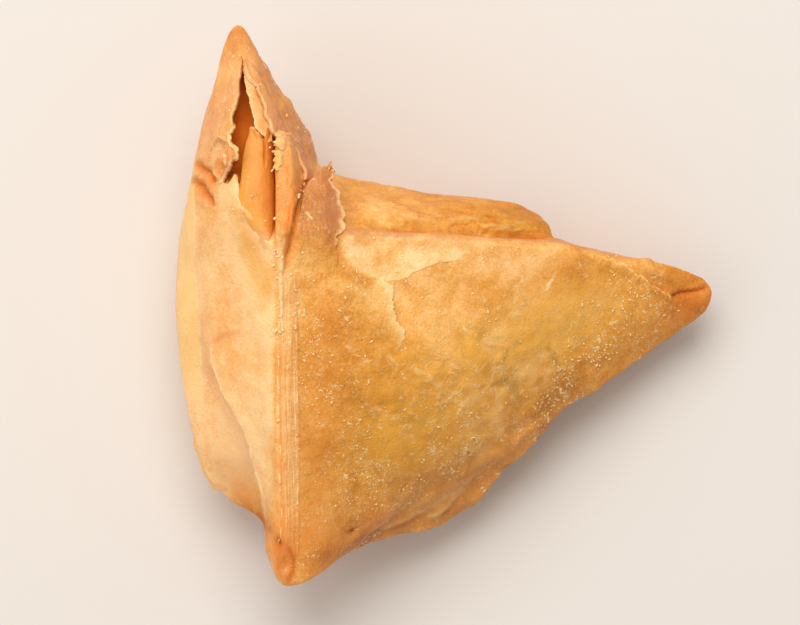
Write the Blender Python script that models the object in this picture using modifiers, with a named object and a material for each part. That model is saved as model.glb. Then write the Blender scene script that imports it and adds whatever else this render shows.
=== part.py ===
"""Samosa: a fried pastry cone that lies on one flank.

The closed tip of the cone points along +X. Its wide end stands at -X, where the dough is
pinched into a straight rim that runs from the foot corner (-Y) over the crown to the horn
(+Y), a pointed corner whose two layers have come apart around a roll of inner dough.
"""
import math

import bmesh
import bpy
import numpy as np
from mathutils import Matrix

MM = 0.001                      # every size below is in millimetres

# Driving sizes
CROWN = (-24.7, 13.6, 43.4)     # highest corner, where the faces meet
SEAT = (-14.0, -4.0)            # middle of the flat underside
FRONT_FALL = (0.40, -0.28)      # drop of the front face for each millimetre along X and Y
BELLY = 4.5                     # how far the filling swells the front face
END_SLOPE = 1.1                 # steepness of the wide end below its rim
BACK_SLOPE = 2.0                # steepness of the back face below its seam
HORN_SLOPE = 1.45               # steepness of the horn's outer side
FOOT_DROP = 3.0                 # step from the foot's folded edge down to the belly
FOLD_FALL = 0.75                # how fast the front face turns under beyond its fold
RIM_WIDTH = 3.8                 # pinched band along the edge of the wide end
RIM_THICK = 1.8
RIM_PROUD = 0.4                 # how far the band stands out of the front face
FLAP_THICK = 2.6                # torn sheet of dough beside the crown
COLUMNS = 112                   # faces round the crust
ROOF_ROWS = 27                  # rows from the crown down to the widest line
UNDER_ROWS = 11                 # rows from the widest line to the seat

# The widest line seen from above, anticlockwise: x, y and height of each bend
TIP = [(43.6, -1.4, 9.5), (45.3, 2.2, 10), (43.6, 5.0, 11)]
BACK_EDGE = [(26.4, 9.5, 17), (20.6, 10.6, 19), (15.3, 14.6, 17), (8.2, 17.7, 15), (-1.5, 18.7, 15)]
NOTCH = [(-18.5, 22.2, 20), (-21.6, 24.2, 22)]
HORN = [(-23.0, 29.0, 22), (-28.6, 37.4, 25), (-35.2, 47.3, 28), (-39.4, 36.5, 25)]
END_EDGE = [(-44.0, 19.5, 19), (-45.3, 11.0, 17), (-45.1, -9.5, 16), (-40.8, -28.4, 14)]
FOOT_GAP = [(-37.0, -32.5, 12), (-31.2, -36.8, 14), (-30.0, -42.0, 21)]
FOOT = [(-27.4, -47.2, 25), (-23.0, -46.4, 25), (-15.0, -41.3, 18)]
FRONT_EDGE = [(0.6, -36.6, 9), (12.6, -26.0, 12), (19.6, -17.9, 12), (26.5, -13.8, 11)]
OUTLINE = TIP + BACK_EDGE + NOTCH + HORN + END_EDGE + FOOT_GAP + FOOT + FRONT_EDGE

# Lines that the folds follow: matching knots
RIM_Y, RIM_Z = (-47, -35, -20, 0, 13.6, 27, 40, 47), (28.0, 31.5, 36.2, 41.0, 43.4, 38.5, 33.5, 30.5)
LIP_Y = (-47, 0, 8, 12.7, 15.7, 19.6, 27, 31, 40, 48)
LIP_X = (-28.6, -28.4, -28.9, -31.2, -32.8, -35.3, -36.1, -36.0, -34.9, -35.2)
OUTER_Y, OUTER_X = (8, 13.6, 20, 27, 40, 48), (-24.0, -24.8, -26.5, -30.0, -33.8, -35.2)
SEAM_X, SEAM_Y = (-24.7, -18.7, 0.9, 19.6, 26.4, 33.2, 41.7, 46), (13.6, 12.5, 11.6, 10.6, 9.4, 7.4, 3.3, 1.5)
# The lobe beside the foot: its crease, and how deep it sags below the wide end
CREASE_Y = (-36, -31.5, -27.1, -22.7, -18.6, -15.9, -13.5, -9.5, -4)
CREASE_X = (-30.6, -31.1, -32.3, -33.3, -35.3, -36.8, -38, -39.3, -39.6)
SAG_Y, SAG_DEPTH = (-36.9, -32.9, -25.9, -13.9, -5.9), (13.0, 7.0, 2.0, 0.4, 0.0)
FOOT_FOLD = ((-18.5, -43.6), (-10.5, -36.2))    # folded edge that runs from the foot into the belly
# The fold along which the front face turns under the belly, and how round it is
FOLD_X = (-24, -20.5, -18.5, -10.5, -3.1, 5, 12.7, 20, 27, 36.5, 44)
FOLD_Y = (-52, -46, -43.6, -36.2, -28.3, -24.3, -19.8, -16, -12.2, -6, -1)
FOLD_ROUND = (0.8, 0.8, 0.8, 1.5, 3.5, 5, 5, 4, 3, 2, 1.5)

# Pieces laid along the rim: x, y, depth below the rim and radius at each bend
ROLL = [(-33.3, 31.0, 3.4, 0.6), (-32.7, 26.5, 1.8, 2.0), (-31.6, 19.5, 1.4, 2.6),
        (-30.2, 13.0, 1.6, 2.0), (-29.0, 8.0, 2.4, 0.6)]
STRIP = [(-28.8, 30.5, 2.4, 0.5), (-27.2, 24.5, 1.7, 1.8), (-26.3, 19.0, 1.5, 2.1),
         (-26.4, 13.0, 1.5, 1.6), (-26.9, 8.0, 2.0, 0.5)]
# The swollen lip of the back edge: x, y, height and radius
BACK_LIP = [(-11.0, 17.2, 19.0, 0.4), (-2.0, 16.6, 20.5, 1.7), (6.5, 15.4, 21.2, 2.4),
            (13.5, 12.6, 21.2, 2.3), (19.0, 9.6, 20.5, 1.4), (24.0, 7.6, 19.0, 0.4)]
RIM_LINE = [(-26.2, 11.0), (-26.3, 6.0), (-26.4, -10.0), (-26.5, -25.0), (-26.8, -38.0), (-27.1, -44.8)]
# The flap's two long edges, from its root on the front face to its torn point: x, y and
# height above the front face's plane
FLAP_INNER = [(-26.6, 5.0, -1.2), (-25.4, 13.0, -0.6), (-23.9, 19.0, -6.0), (-20.4, 24.3, -11.4)]
FLAP_OUTER = [(-18.8, 4.0, -1.2), (-17.0, 12.5, 0.5), (-17.4, 17.5, -4.4), (-19.2, 24.2, -11.8)]

# Egg-shaped hollows: middle, size, and turn in degrees
SLIT = ((-34.3, 31.0), (3.6, 21.0, 17.0), 3)        # opening between the horn's two layers
POCKET = ((-31.4, 20.0), (7.0, 27.0, 12.0), 9)      # trough that the roll lies in


def smooth_line(value, knots, levels):
    """Height of a gently rounded line through the knots."""
    shifts = ((-2, 0.15), (-1, 0.2), (0, 0.3), (1, 0.2), (2, 0.15))
    return sum(share * np.interp(value + shift, knots, levels) for shift, share in shifts)


def blend_low(a, b, width):
    """The lower of two heights, rounded where they cross."""
    return 0.5 * (a + b - np.sqrt((a - b) ** 2 + width ** 2))


def blend_high(a, b, width):
    """The higher of two heights, rounded where they cross."""
    return 0.5 * (a + b + np.sqrt((a - b) ** 2 + width ** 2))


def ease(value):
    """Smooth step from 0 to 1."""
    value = np.clip(value, 0, 1)
    return value * value * (3 - 2 * value)


def mound(x, y, centre, reach):
    """Bell-shaped swelling of height 1."""
    return np.exp(-((x - centre[0]) / reach[0]) ** 2 - ((y - centre[1]) / reach[1]) ** 2)


def rim_height(y):
    return smooth_line(y, RIM_Y, RIM_Z)


def foot_fold(x, y):
    """1 beyond the folded edge at the foot, 0 on the front face; it dies out along the belly."""
    (ax, ay), (bx, by) = FOOT_FOLD
    length = math.hypot(bx - ax, by - ay)
    along = ((x - ax) * (bx - ax) + (y - ay) * (by - ay)) / length
    beyond = ((x - ax) * (by - ay) - (y - ay) * (bx - ax)) / length
    return ease(beyond / 1.5) * ease((length + 12 - along) / 12)


def front_face(x, y):
    """A tilted plane, swollen by the filling, that turns under beyond its fold."""
    plane = CROWN[2] + 0.6 - FRONT_FALL[0] * (x - CROWN[0]) - FRONT_FALL[1] * (y - CROWN[1])
    beyond = smooth_line(x, FOLD_X, FOLD_Y) - y
    turned = FOLD_FALL * blend_high(beyond, 0, np.interp(x, FOLD_X, FOLD_ROUND))
    return plane + BELLY * mound(x, y, (0, -10), (19, 17)) - FOOT_DROP * foot_fold(x, y) - turned


def end_face(x, y):
    """The wide end, which falls from the rim to -X, with a lobe that sags beside the foot."""
    fall = rim_height(y) - END_SLOPE * (smooth_line(y, LIP_Y, LIP_X) - x)
    crease = smooth_line(y, CREASE_Y, CREASE_X)
    return fall - np.interp(y, SAG_Y, SAG_DEPTH) * ease((crease - x) / 2.0 + 0.5)


def back_face(x, y):
    """The far side, which drops from the seam; it flattens towards the tip."""
    seam = smooth_line(x, SEAM_X, SEAM_Y)
    slope = np.interp(x, (22, 32, 42), (BACK_SLOPE, 1.2, 0.5))
    return front_face(x, seam) - slope * (y - seam)


def horn_side(x, y):
    """The horn's flat top and its outer side, which dive under the front face at the crown."""
    slope = np.interp(y, (27, 44), (HORN_SLOPE, 1.0))
    fall = blend_low(slope * (smooth_line(y, OUTER_Y, OUTER_X) - x), 0.4, 1.0)
    return rim_height(y) + fall - 2.5 * np.clip(CROWN[1] - 1.6 - y, 0, None)


def roof(x, y):
    """Height of the upper faces."""
    body = blend_low(front_face(x, y), back_face(x, y), 1.0)
    return blend_low(end_face(x, y), blend_high(body, horn_side(x, y), 1.0), 1.0)


def underside(x, y):
    """Height of the lower faces; whatever lies below the table is cut off flat at zero."""
    below_tip = 0.35 * (x - 25)
    below_foot = 21 - 2.0 * (y + 47.3)
    below_horn = 0.85 * (y - 20) + 1
    low = np.maximum(-2.5, below_tip)
    return blend_high(blend_high(low, below_foot, 1.5), below_horn, 2)


def widest_line(count):
    """Closed smooth curve through OUTLINE, with more points where the bends are close."""
    points = np.array(OUTLINE)
    following = np.roll(points, -1, axis=0)
    gaps = np.linalg.norm((following - points)[:, :2], axis=1)
    slopes = (following - np.roll(points, 1, axis=0)) / (gaps + np.roll(gaps, 1))[:, None]
    knots = np.concatenate([[0], np.cumsum(gaps ** 0.8)])
    place = knots[-1] * np.arange(count) / count
    i = np.searchsorted(knots, place, side="right") - 1
    j = (i + 1) % len(points)
    u = ((place - knots[i]) / (knots[i + 1] - knots[i]))[:, None]
    gap = gaps[i][:, None]
    start = (2 * u ** 3 - 3 * u ** 2 + 1) * points[i] + (u ** 3 - 2 * u ** 2 + u) * gap * slopes[i]
    end = (3 * u ** 2 - 2 * u ** 3) * points[j] + (u ** 3 - u ** 2) * gap * slopes[j]
    return start + end


def flank(line, centre, power, share):
    """Points a share of the way from a centre to the widest line, on a squared-off dome."""
    reach = np.hypot(*(line[:, :2] - centre).T)
    n = np.interp(reach, (15, 60), power)
    angle = math.pi / 2 * share ** (n / 2)
    spread = np.sin(angle) ** (2 / n)
    x = centre[0] + (line[:, 0] - centre[0]) * spread
    y = centre[1] + (line[:, 1] - centre[1]) * spread
    return x, y, np.cos(angle)


def crust_points(column, row):
    """Place of each point of the crust: its column runs round, its row from crown to seat."""
    line = widest_line(COLUMNS)[column]
    edge = line[:, 2]
    x, y, lift = flank(line, CROWN[:2], (4, 7), np.clip(row / ROOF_ROWS, 0, 1))
    z = edge + (roof(x, y) - edge) * lift
    under_share = np.clip((ROOF_ROWS + UNDER_ROWS - row) / UNDER_ROWS, 0, 1)
    under_x, under_y, drop = flank(line, SEAT, (5, 7), under_share)
    under_z = np.maximum(edge - (edge - underside(under_x, under_y)) * drop ** 0.8, 0)
    above = (row <= ROOF_ROWS)[:, None]
    return np.where(above, np.stack([x, y, z], 1), np.stack([under_x, under_y, under_z], 1))


def new_object(name, mesh, collection):
    obj = bpy.data.objects.new(name, mesh)
    collection.objects.link(obj)
    return obj


def mesh_from(shape, name):
    mesh = bpy.data.meshes.new(name)
    shape.to_mesh(mesh)
    shape.free()
    return mesh


def make_crust(collection):
    """A sphere whose columns and rows are moved onto the crust."""
    rows = ROOF_ROWS + UNDER_ROWS
    shape = bmesh.new()
    bmesh.ops.create_uvsphere(shape, u_segments=COLUMNS, v_segments=rows, radius=1)
    places = np.array([vertex.co for vertex in shape.verts])
    column = np.arctan2(places[:, 1], places[:, 0]) / (2 * math.pi) * COLUMNS
    row = np.rint(np.arccos(np.clip(places[:, 2], -1, 1)) / math.pi * rows)
    moved = crust_points(np.rint(column).astype(int) % COLUMNS, row) * MM
    for vertex, place in zip(shape.verts, moved):
        vertex.co = place
    bmesh.ops.triangulate(shape, faces=shape.faces)
    mesh = mesh_from(shape, "pastry")
    mesh.shade_smooth()
    return new_object("pastry", mesh, collection)


def make_tube(name, line, collection, half_width=0.0, tilt=0.0):
    """A closed tube along (x, y, z, radius); half_width draws it out sideways into a band."""
    curve = bpy.data.curves.new(name, "CURVE")
    curve.dimensions = "3D"
    curve.twist_mode = "Z_UP"
    curve.bevel_depth = MM
    curve.bevel_resolution = 2
    curve.extrude = half_width * MM
    curve.use_fill_caps = True
    curve.resolution_u = 4
    spline = curve.splines.new("BEZIER")
    spline.bezier_points.add(len(line) - 1)
    for point, (x, y, z, radius) in zip(spline.bezier_points, line):
        point.co = (x * MM, y * MM, z * MM)
        point.radius = radius
        point.tilt = tilt
        point.handle_left_type = point.handle_right_type = "AUTO"
    drawn = new_object(name + " line", curve, collection)
    bpy.context.view_layer.update()
    evaluated = drawn.evaluated_get(bpy.context.evaluated_depsgraph_get())
    shape = bmesh.new()
    shape.from_mesh(evaluated.to_mesh())
    bpy.data.objects.remove(drawn)
    bmesh.ops.remove_doubles(shape, verts=shape.verts, dist=0.01 * MM)
    bmesh.ops.recalc_face_normals(shape, faces=shape.faces)
    return new_object(name, mesh_from(shape, name), collection)


def make_sheet(name, inner, outer, thickness, collection, steps=(4, 9)):
    """A bent sheet of x, y and lift between two edges, given thickness below its surface."""
    across, along = steps
    shape = bmesh.new()
    bmesh.ops.create_grid(shape, x_segments=across, y_segments=along, size=0.5)
    knots = np.linspace(0, 1, len(inner))
    for vertex in shape.verts:
        u, v = vertex.co.x + 0.5, vertex.co.y + 0.5
        start = [np.interp(v, knots, axis) for axis in zip(*inner)]
        end = [np.interp(v, knots, axis) for axis in zip(*outer)]
        x, y, lift = (a + (b - a) * u for a, b in zip(start, end))
        vertex.co = (x * MM, y * MM, (float(front_face(x, y)) + lift) * MM)
    sheet = new_object(name, mesh_from(shape, name), collection)
    solid = sheet.modifiers.new("thickness", "SOLIDIFY")
    solid.thickness = thickness * MM
    solid.offset = -1
    return sheet


def make_hollow(name, middle, size, turn, collection):
    """An egg-shaped cutter whose middle is on the rim."""
    shape = bmesh.new()
    bmesh.ops.create_uvsphere(shape, u_segments=16, v_segments=10, radius=0.5)
    stretch = Matrix.Diagonal([length * MM for length in size])
    bmesh.ops.rotate(shape, matrix=Matrix.Rotation(math.radians(turn), 3, "Z") @ stretch, verts=shape.verts)
    hollow = new_object(name, mesh_from(shape, name), collection)
    hollow.location = (middle[0] * MM, middle[1] * MM, float(rim_height(middle[1])) * MM)
    return hollow


def combine(body, tool, operation):
    """Joins a tool to the body or cuts it out, and leaves the tool as a hidden wire."""
    modifier = body.modifiers.new(tool.name, "BOOLEAN")
    modifier.operation = operation
    modifier.solver = "EXACT"
    modifier.object = tool
    tool.hide_render = True
    tool.display_type = "WIRE"


def below_rim(line):
    """Turns the depths below the rim into heights."""
    return [(x, y, float(rim_height(y)) - depth, radius) for x, y, depth, radius in line]


def make_material(name, colour, roughness):
    material = bpy.data.materials.new(name)
    material.use_nodes = True
    shader = material.node_tree.nodes["Principled BSDF"]
    shader.inputs["Base Color"].default_value = (*colour, 1)
    shader.inputs["Roughness"].default_value = roughness
    shader.inputs["Metallic"].default_value = 0
    return material


def build():
    for obj in list(bpy.data.objects):
        bpy.data.objects.remove(obj)
    samosa = bpy.data.collections.new("samosa")
    tools = bpy.data.collections.new("tools")
    bpy.context.scene.collection.children.link(samosa)
    bpy.context.scene.collection.children.link(tools)

    pastry = make_crust(samosa)
    pastry.data.materials.append(make_material("fried crust", (0.78, 0.45, 0.16), 0.5))

    combine(pastry, make_hollow("slit", *SLIT, tools), "DIFFERENCE")
    combine(pastry, make_hollow("pocket", *POCKET, tools), "DIFFERENCE")
    combine(pastry, make_tube("roll", below_rim(ROLL), tools), "UNION")
    combine(pastry, make_tube("strip", below_rim(STRIP), tools), "UNION")
    combine(pastry, make_tube("back lip", BACK_LIP, tools), "UNION")

    radius = RIM_THICK / 2
    band = [(x, y, float(front_face(x, y)) + RIM_PROUD - radius, radius) for x, y in RIM_LINE]
    for end in (0, -1):
        x, y, z, radius = band[end]
        band[end] = (x, y, z - radius, radius / 3)
    lean = math.atan(FRONT_FALL[0])
    combine(pastry, make_tube("rim", band, tools, RIM_WIDTH / 2 - radius, lean), "UNION")
    combine(pastry, make_sheet("flap", FLAP_INNER, FLAP_OUTER, FLAP_THICK, tools), "UNION")


build()
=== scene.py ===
import math
import bpy
import numpy as np
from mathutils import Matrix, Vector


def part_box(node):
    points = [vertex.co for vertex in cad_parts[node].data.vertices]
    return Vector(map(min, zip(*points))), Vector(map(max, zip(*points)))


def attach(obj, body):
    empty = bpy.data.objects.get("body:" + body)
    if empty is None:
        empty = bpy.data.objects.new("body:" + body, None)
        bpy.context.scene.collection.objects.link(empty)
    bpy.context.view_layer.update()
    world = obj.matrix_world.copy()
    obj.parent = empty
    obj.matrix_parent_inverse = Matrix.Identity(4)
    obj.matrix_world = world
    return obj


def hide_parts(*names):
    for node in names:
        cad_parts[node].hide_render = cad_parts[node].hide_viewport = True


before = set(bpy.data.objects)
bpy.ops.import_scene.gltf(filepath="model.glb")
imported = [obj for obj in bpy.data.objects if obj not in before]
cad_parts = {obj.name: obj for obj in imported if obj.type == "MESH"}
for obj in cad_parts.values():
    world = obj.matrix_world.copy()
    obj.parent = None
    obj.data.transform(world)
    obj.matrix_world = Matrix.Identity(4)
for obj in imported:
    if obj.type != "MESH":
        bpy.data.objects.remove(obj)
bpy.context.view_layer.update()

# The solid in the frame is 94.7 mm from the foot corner to the horn's tip. Every shape below is
# worked out in millimetres and brought to the frame's metres by this one factor.
boxLow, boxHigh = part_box("pastry")
millimetre = (boxHigh[1] - boxLow[1]) / 94.7


# small tools for shapes
def ease(value):  # smooth step from 0 to 1
    value = np.clip(value, 0, 1)
    return value * value * (3 - 2 * value)


def lower(a, b, width):  # the lower of two heights, rounded where they cross
    return 0.5 * (a + b - np.sqrt((a - b) ** 2 + width ** 2))


def higher(a, b, width):  # the higher of two heights, rounded where they cross
    return 0.5 * (a + b + np.sqrt((a - b) ** 2 + width ** 2))


def softLine(value, knots, levels):  # straight lines between knots, averaged over 4 mm
    shifts = ((-2, 0.15), (-1, 0.2), (0, 0.3), (1, 0.2), (2, 0.15))
    return sum(share * np.interp(value + shift, knots, levels) for shift, share in shifts)


def mound(x, y, cx, cy, rx, ry, turn=0.0):  # bell of height 1 on an ellipse turned by some degrees
    c, s = math.cos(math.radians(turn)), math.sin(math.radians(turn))
    u, v = (x - cx) * c + (y - cy) * s, (y - cy) * c - (x - cx) * s
    return np.exp(-(u / rx) ** 2 - (v / ry) ** 2)


def toLine(x, y, line):
    # signed distance to a line of points, positive on its left, and the share of its length run by there
    line = np.array(line, float)
    best, side, share = np.full(x.shape, 1e9), np.zeros(x.shape), np.zeros(x.shape)
    lengths = np.hypot(*np.diff(line, axis=0).T)
    run = np.concatenate([[0], np.cumsum(lengths)]) / lengths.sum()
    for k, (a, b) in enumerate(zip(line[:-1], line[1:])):
        d = b - a
        t = ((x - a[0]) * d[0] + (y - a[1]) * d[1]) / (d @ d)
        held = np.clip(t, 0, 1)
        gap = np.hypot(x - a[0] - held * d[0], y - a[1] - held * d[1])
        near = gap < best
        left = np.sign(d[0] * (y - a[1]) - d[1] * (x - a[0]))
        best, side = np.where(near, gap, best), np.where(near, left, side)
        share = np.where(near, run[k] + held * (run[k + 1] - run[k]), share)
    return best * side, share


def toMark(x, y, name):  # signed distance to one of the marks, and the share of its length run by there
    return toLine(x, y, marks[name])


def bell(gap, width):  # 1 on a line, falling to 0 on both sides of it
    return np.exp(-(gap / width) ** 2)


def spotted(x, y, rows):  # sum of mounds: each row is an amount and its mound's place, size and turn
    return sum(amount * mound(x, y, *place) for amount, *place in rows)


def cloud(points, size, seed, octaves=1):
    # smooth random field from 0 to 1: random values on a cubic lattice, eased from one to the next
    total = weight = 0
    for k in range(octaves):
        table = np.random.default_rng(seed + k).random((16, 16, 16))
        place = points * (2 ** k / size)
        cell = np.floor(place).astype(int)
        f = ease(place - cell)
        lo, hi = cell & 15, (cell + 1) & 15
        value = 0
        for corner in range(8):
            pick = [hi[..., a] if corner >> a & 1 else lo[..., a] for a in range(3)]
            part = [f[..., a] if corner >> a & 1 else 1 - f[..., a] for a in range(3)]
            value = value + table[pick[0], pick[1], pick[2]] * part[0] * part[1] * part[2]
        total, weight = total + value / 2 ** k, weight + 1 / 2 ** k
    return total / weight


def rough(points, size, seed, octaves=1):  # a cloud from -1 to 1
    return (cloud(points, size, seed, octaves) - 0.5) * 2


def gridNormals(grid):
    # unit normals of a grid closed round its columns, from the cross product of its two directions
    across = np.roll(grid, -1, 0) - np.roll(grid, 1, 0)
    n = np.cross(np.gradient(grid, axis=1), across)
    return n / np.maximum(np.linalg.norm(n, axis=-1, keepdims=True), 1e-9)


def addMesh(name, points, faces, masks):
    # puts a finished shape, in millimetres, into the scene as one object at the origin
    mesh = bpy.data.meshes.new(name)
    mesh.from_pydata((np.asarray(points, float) * millimetre).tolist(), [], faces)
    for key, value in masks.items():
        layer = mesh.attributes.new(key, "FLOAT", "POINT")
        layer.data.foreach_set("value", np.ascontiguousarray(value, np.float32).ravel())
    mesh.shade_smooth()
    piece = bpy.data.objects.new(name, mesh)
    bpy.context.scene.collection.objects.link(piece)
    return piece


def gridFaces(columns, rows, closed=False):
    # quads of a grid whose points are stored column by column
    i, j = np.meshgrid(np.arange(columns if closed else columns - 1), np.arange(rows - 1), indexing="ij")
    i, j, following = i.ravel(), j.ravel(), (i.ravel() + 1) % columns
    return np.stack([i * rows + j, i * rows + j + 1, following * rows + j + 1, following * rows + j], 1)


# the body of the samosa
crust = {
    "columns": 520, "roofRows": 156, "underRows": 34,   # fineness of the surface
    "crown": (-24.7, 13.6, 43.4),    # highest corner, where the faces meet
    "seat": (-14.0, -4.0),           # middle of the flat underside
    "frontFall": (0.40, -0.28),      # drop of the front face for each millimetre along X and Y
    "belly": 4.5,                    # swelling of the front face
    "endSlope": 1.1, "backSlope": 2.0, "hornSlope": 1.45,
    "footDrop": 3.0,                 # step down from the folded edge beside the foot
    # fold where the front face turns under, with its roundness, and how fast the surface falls beyond it
    "foldX": (-24, -20.5, -18.5, -10.5, -3.1, 5, 12.7, 20, 27, 36.5, 44),
    "foldY": (-52, -46, -43.6, -36.2, -28.3, -24.3, -19.8, -16, -12.2, -6, -1),
    "foldRound": (0.8, 0.8, 0.8, 1.5, 3.5, 5, 5, 4, 3, 2, 1.5), "foldFall": 0.75,
    # the widest line seen from above, anticlockwise from the tip: x, y and height
    "outline": [
        (43.6, -1.4, 9.5), (45.3, 2.2, 10), (43.6, 5.0, 11), (26.4, 9.5, 17), (20.6, 10.6, 19),
        (15.3, 14.6, 17), (8.2, 17.7, 15), (-1.5, 18.7, 15), (-18.5, 22.2, 20), (-21.6, 24.2, 22),
        (-23.0, 29.0, 22), (-28.6, 37.4, 25), (-35.2, 47.3, 28), (-39.4, 36.5, 25), (-44.0, 19.5, 19),
        (-45.3, 11.0, 17), (-45.1, -9.5, 16), (-40.8, -28.4, 14), (-37.0, -32.5, 12), (-31.2, -36.8, 14),
        (-30.0, -42.0, 21), (-27.4, -47.2, 25), (-23.0, -46.4, 25), (-15.0, -41.3, 18), (0.6, -36.6, 9),
        (12.6, -26.0, 12), (19.6, -17.9, 12), (26.5, -13.8, 11)],
    "rimY": (-47, -35, -20, 0, 13.6, 27, 40, 47), "rimZ": (28.0, 31.5, 36.2, 41.0, 43.4, 38.5, 33.5, 30.5),
    "lipY": (-47, 0, 8, 12.7, 15.7, 19.6, 27, 31, 40, 48),
    "lipX": (-28.6, -28.4, -28.9, -31.2, -32.8, -35.3, -36.1, -36.0, -34.9, -35.2),
    "outerY": (8, 13.6, 20, 27, 40, 48), "outerX": (-24.0, -24.8, -26.5, -30.0, -33.8, -35.2),
    "seamX": (-24.7, -18.7, 0.9, 19.6, 26.4, 33.2, 41.7, 46),
    "seamY": (13.6, 12.5, 11.6, 10.6, 9.4, 7.4, 3.3, 1.5),
    # the lobe beside the foot: where its crease runs, and how deep it sags at each y
    "creaseY": (-36, -31.5, -27.1, -22.7, -18.6, -15.9, -13.5, -9.5, -4),
    "creaseX": (-30.6, -31.1, -32.3, -33.3, -35.3, -36.8, -38, -39.3, -39.6),
    "sagY": (-36.9, -32.9, -25.9, -13.9, -5.9), "sagDepth": (13.0, 7.0, 2.0, 0.4, 0.0),
    "footFold": ((-18.5, -43.6), (-10.5, -36.2)),
    # trough between the horn's two layers: left and right side and depth at each y
    "troughY": (9.5, 11, 13, 16, 20, 26, 31, 36, 40, 42),
    "troughL": (-28.9, -30.4, -32.4, -34.4, -36.8, -37.0, -37.0, -36.0, -35.2, -34.7),
    "troughR": (-27.9, -26.6, -25.8, -25.4, -25.2, -26.6, -29.0, -31.0, -33.6, -34.3),
    "troughDepth": (0.0, 1.0, 3.0, 5.0, 6.5, 7.0, 6.5, 5.5, 3.0, 0.5),
    "wedge": [(2.6, -36.0, 22.9, 1.2, 2.4, -38)],             # deepest beside the torn end of the left layer
}


def rimHeight(y):  # height of the rim at each y
    return softLine(y, crust["rimY"], crust["rimZ"])


def footFold(x, y):  # 1 beyond the folded edge at the foot, 0 on the front face
    (ax, ay), (bx, by) = crust["footFold"]
    length = math.hypot(bx - ax, by - ay)
    along = ((x - ax) * (bx - ax) + (y - ay) * (by - ay)) / length
    beyond = ((x - ax) * (by - ay) - (y - ay) * (bx - ax)) / length
    return ease(beyond / 1.2) * ease((length + 12 - along) / 12)


def frontFace(x, y):  # a tilted plane with the swelling of the filling
    (fx, fy), (cx, cy, cz) = crust["frontFall"], crust["crown"]
    plane = cz + 0.6 - fx * (x - cx) - fy * (y - cy)
    beyond = softLine(x, crust["foldX"], crust["foldY"]) - y
    turned = crust["foldFall"] * higher(beyond, 0, np.interp(x, crust["foldX"], crust["foldRound"]))
    return plane + crust["belly"] * mound(x, y, 0, -10, 19, 17) - crust["footDrop"] * footFold(x, y) - turned


def endFace(x, y):  # the wide end falls from the rim to -X, and a lobe sags beside the foot
    fall = rimHeight(y) - crust["endSlope"] * (softLine(y, crust["lipY"], crust["lipX"]) - x)
    crease = softLine(y, crust["creaseY"], crust["creaseX"])
    return fall - np.interp(y, crust["sagY"], crust["sagDepth"]) * ease((crease - x) / 1.2 + 0.5)


def seamLine(x):  # where the seam runs: its y at each x
    return softLine(x, crust["seamX"], crust["seamY"])


def backFace(x, y):  # the far side drops from the seam and flattens towards the tip
    slope = np.interp(x, (22, 32, 42), (crust["backSlope"], 1.2, 0.5))
    return frontFace(x, seamLine(x)) - slope * (y - seamLine(x))


def hornSide(x, y):  # the horn's flat top and outer side, which dive under the front face
    slope = np.interp(y, (27, 44), (crust["hornSlope"], 1.0))
    fall = lower(slope * (softLine(y, crust["outerY"], crust["outerX"]) - x), 0.4, 1.0)
    return rimHeight(y) + fall - 2.5 * np.clip(crust["crown"][1] - 1.6 - y, 0, None)


def roof(x, y):
    # upper side with the horn closed: the lower of the wide end and of the higher of body and horn
    body = lower(frontFace(x, y), backFace(x, y), 0.7)
    return lower(endFace(x, y), higher(body, hornSide(x, y), 1.0), 1.0)


def underside(x, y):  # height of the lower faces; below the table it is cut off flat
    low = np.maximum(-2.5, 0.35 * (x - 25))
    return higher(higher(low, 21 - 2.0 * (y + 47.3), 1.5), 0.85 * (y - 20) + 1, 2)


def widestLine(count):
    # closed smooth curve: cubic pieces from bend to bend, with more points where the bends are close
    p = np.array(crust["outline"])
    following = np.roll(p, -1, 0)
    gaps = np.linalg.norm((following - p)[:, :2], axis=1)
    slopes = (following - np.roll(p, 1, 0)) / (gaps + np.roll(gaps, 1))[:, None]
    knots = np.concatenate([[0], np.cumsum(gaps ** 0.8)])
    place = knots[-1] * np.arange(count) / count
    i = np.searchsorted(knots, place, side="right") - 1
    j = (i + 1) % len(p)
    u = ((place - knots[i]) / (knots[i + 1] - knots[i]))[:, None]
    gap = gaps[i][:, None]
    start = (2 * u ** 3 - 3 * u ** 2 + 1) * p[i] + (u ** 3 - 2 * u ** 2 + u) * gap * slopes[i]
    return start + (3 * u ** 2 - 2 * u ** 3) * p[j] + (u ** 3 - u ** 2) * gap * slopes[j]


def flank(line, centre, power, share):
    # from a centre (share 0) to the widest line (share 1) along a squared-off quarter circle
    n = np.interp(np.hypot(*(line[:, :2] - centre).T), (15, 60), power)[:, None]
    angle = math.pi / 2 * share ** (n / 2)
    spread = np.sin(angle) ** (2 / n)
    x = centre[0] + (line[:, :1] - centre[0]) * spread
    y = centre[1] + (line[:, 1:2] - centre[1]) * spread
    return x, y, np.cos(angle)


def trough(x, y):  # depth of the trough that the horn's layers leave open
    names = ("troughL", "troughR", "troughDepth")
    left, right, depth = (np.interp(y, crust["troughY"], crust[name]) for name in names)
    across = np.clip(np.abs(2 * x - left - right) / np.maximum(right - left, 0.2), 0, 1)
    inside = (y > crust["troughY"][0]) & (y < crust["troughY"][-1])
    return depth * (1 - across ** 3) * inside + spotted(x, y, crust["wedge"])


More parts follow.
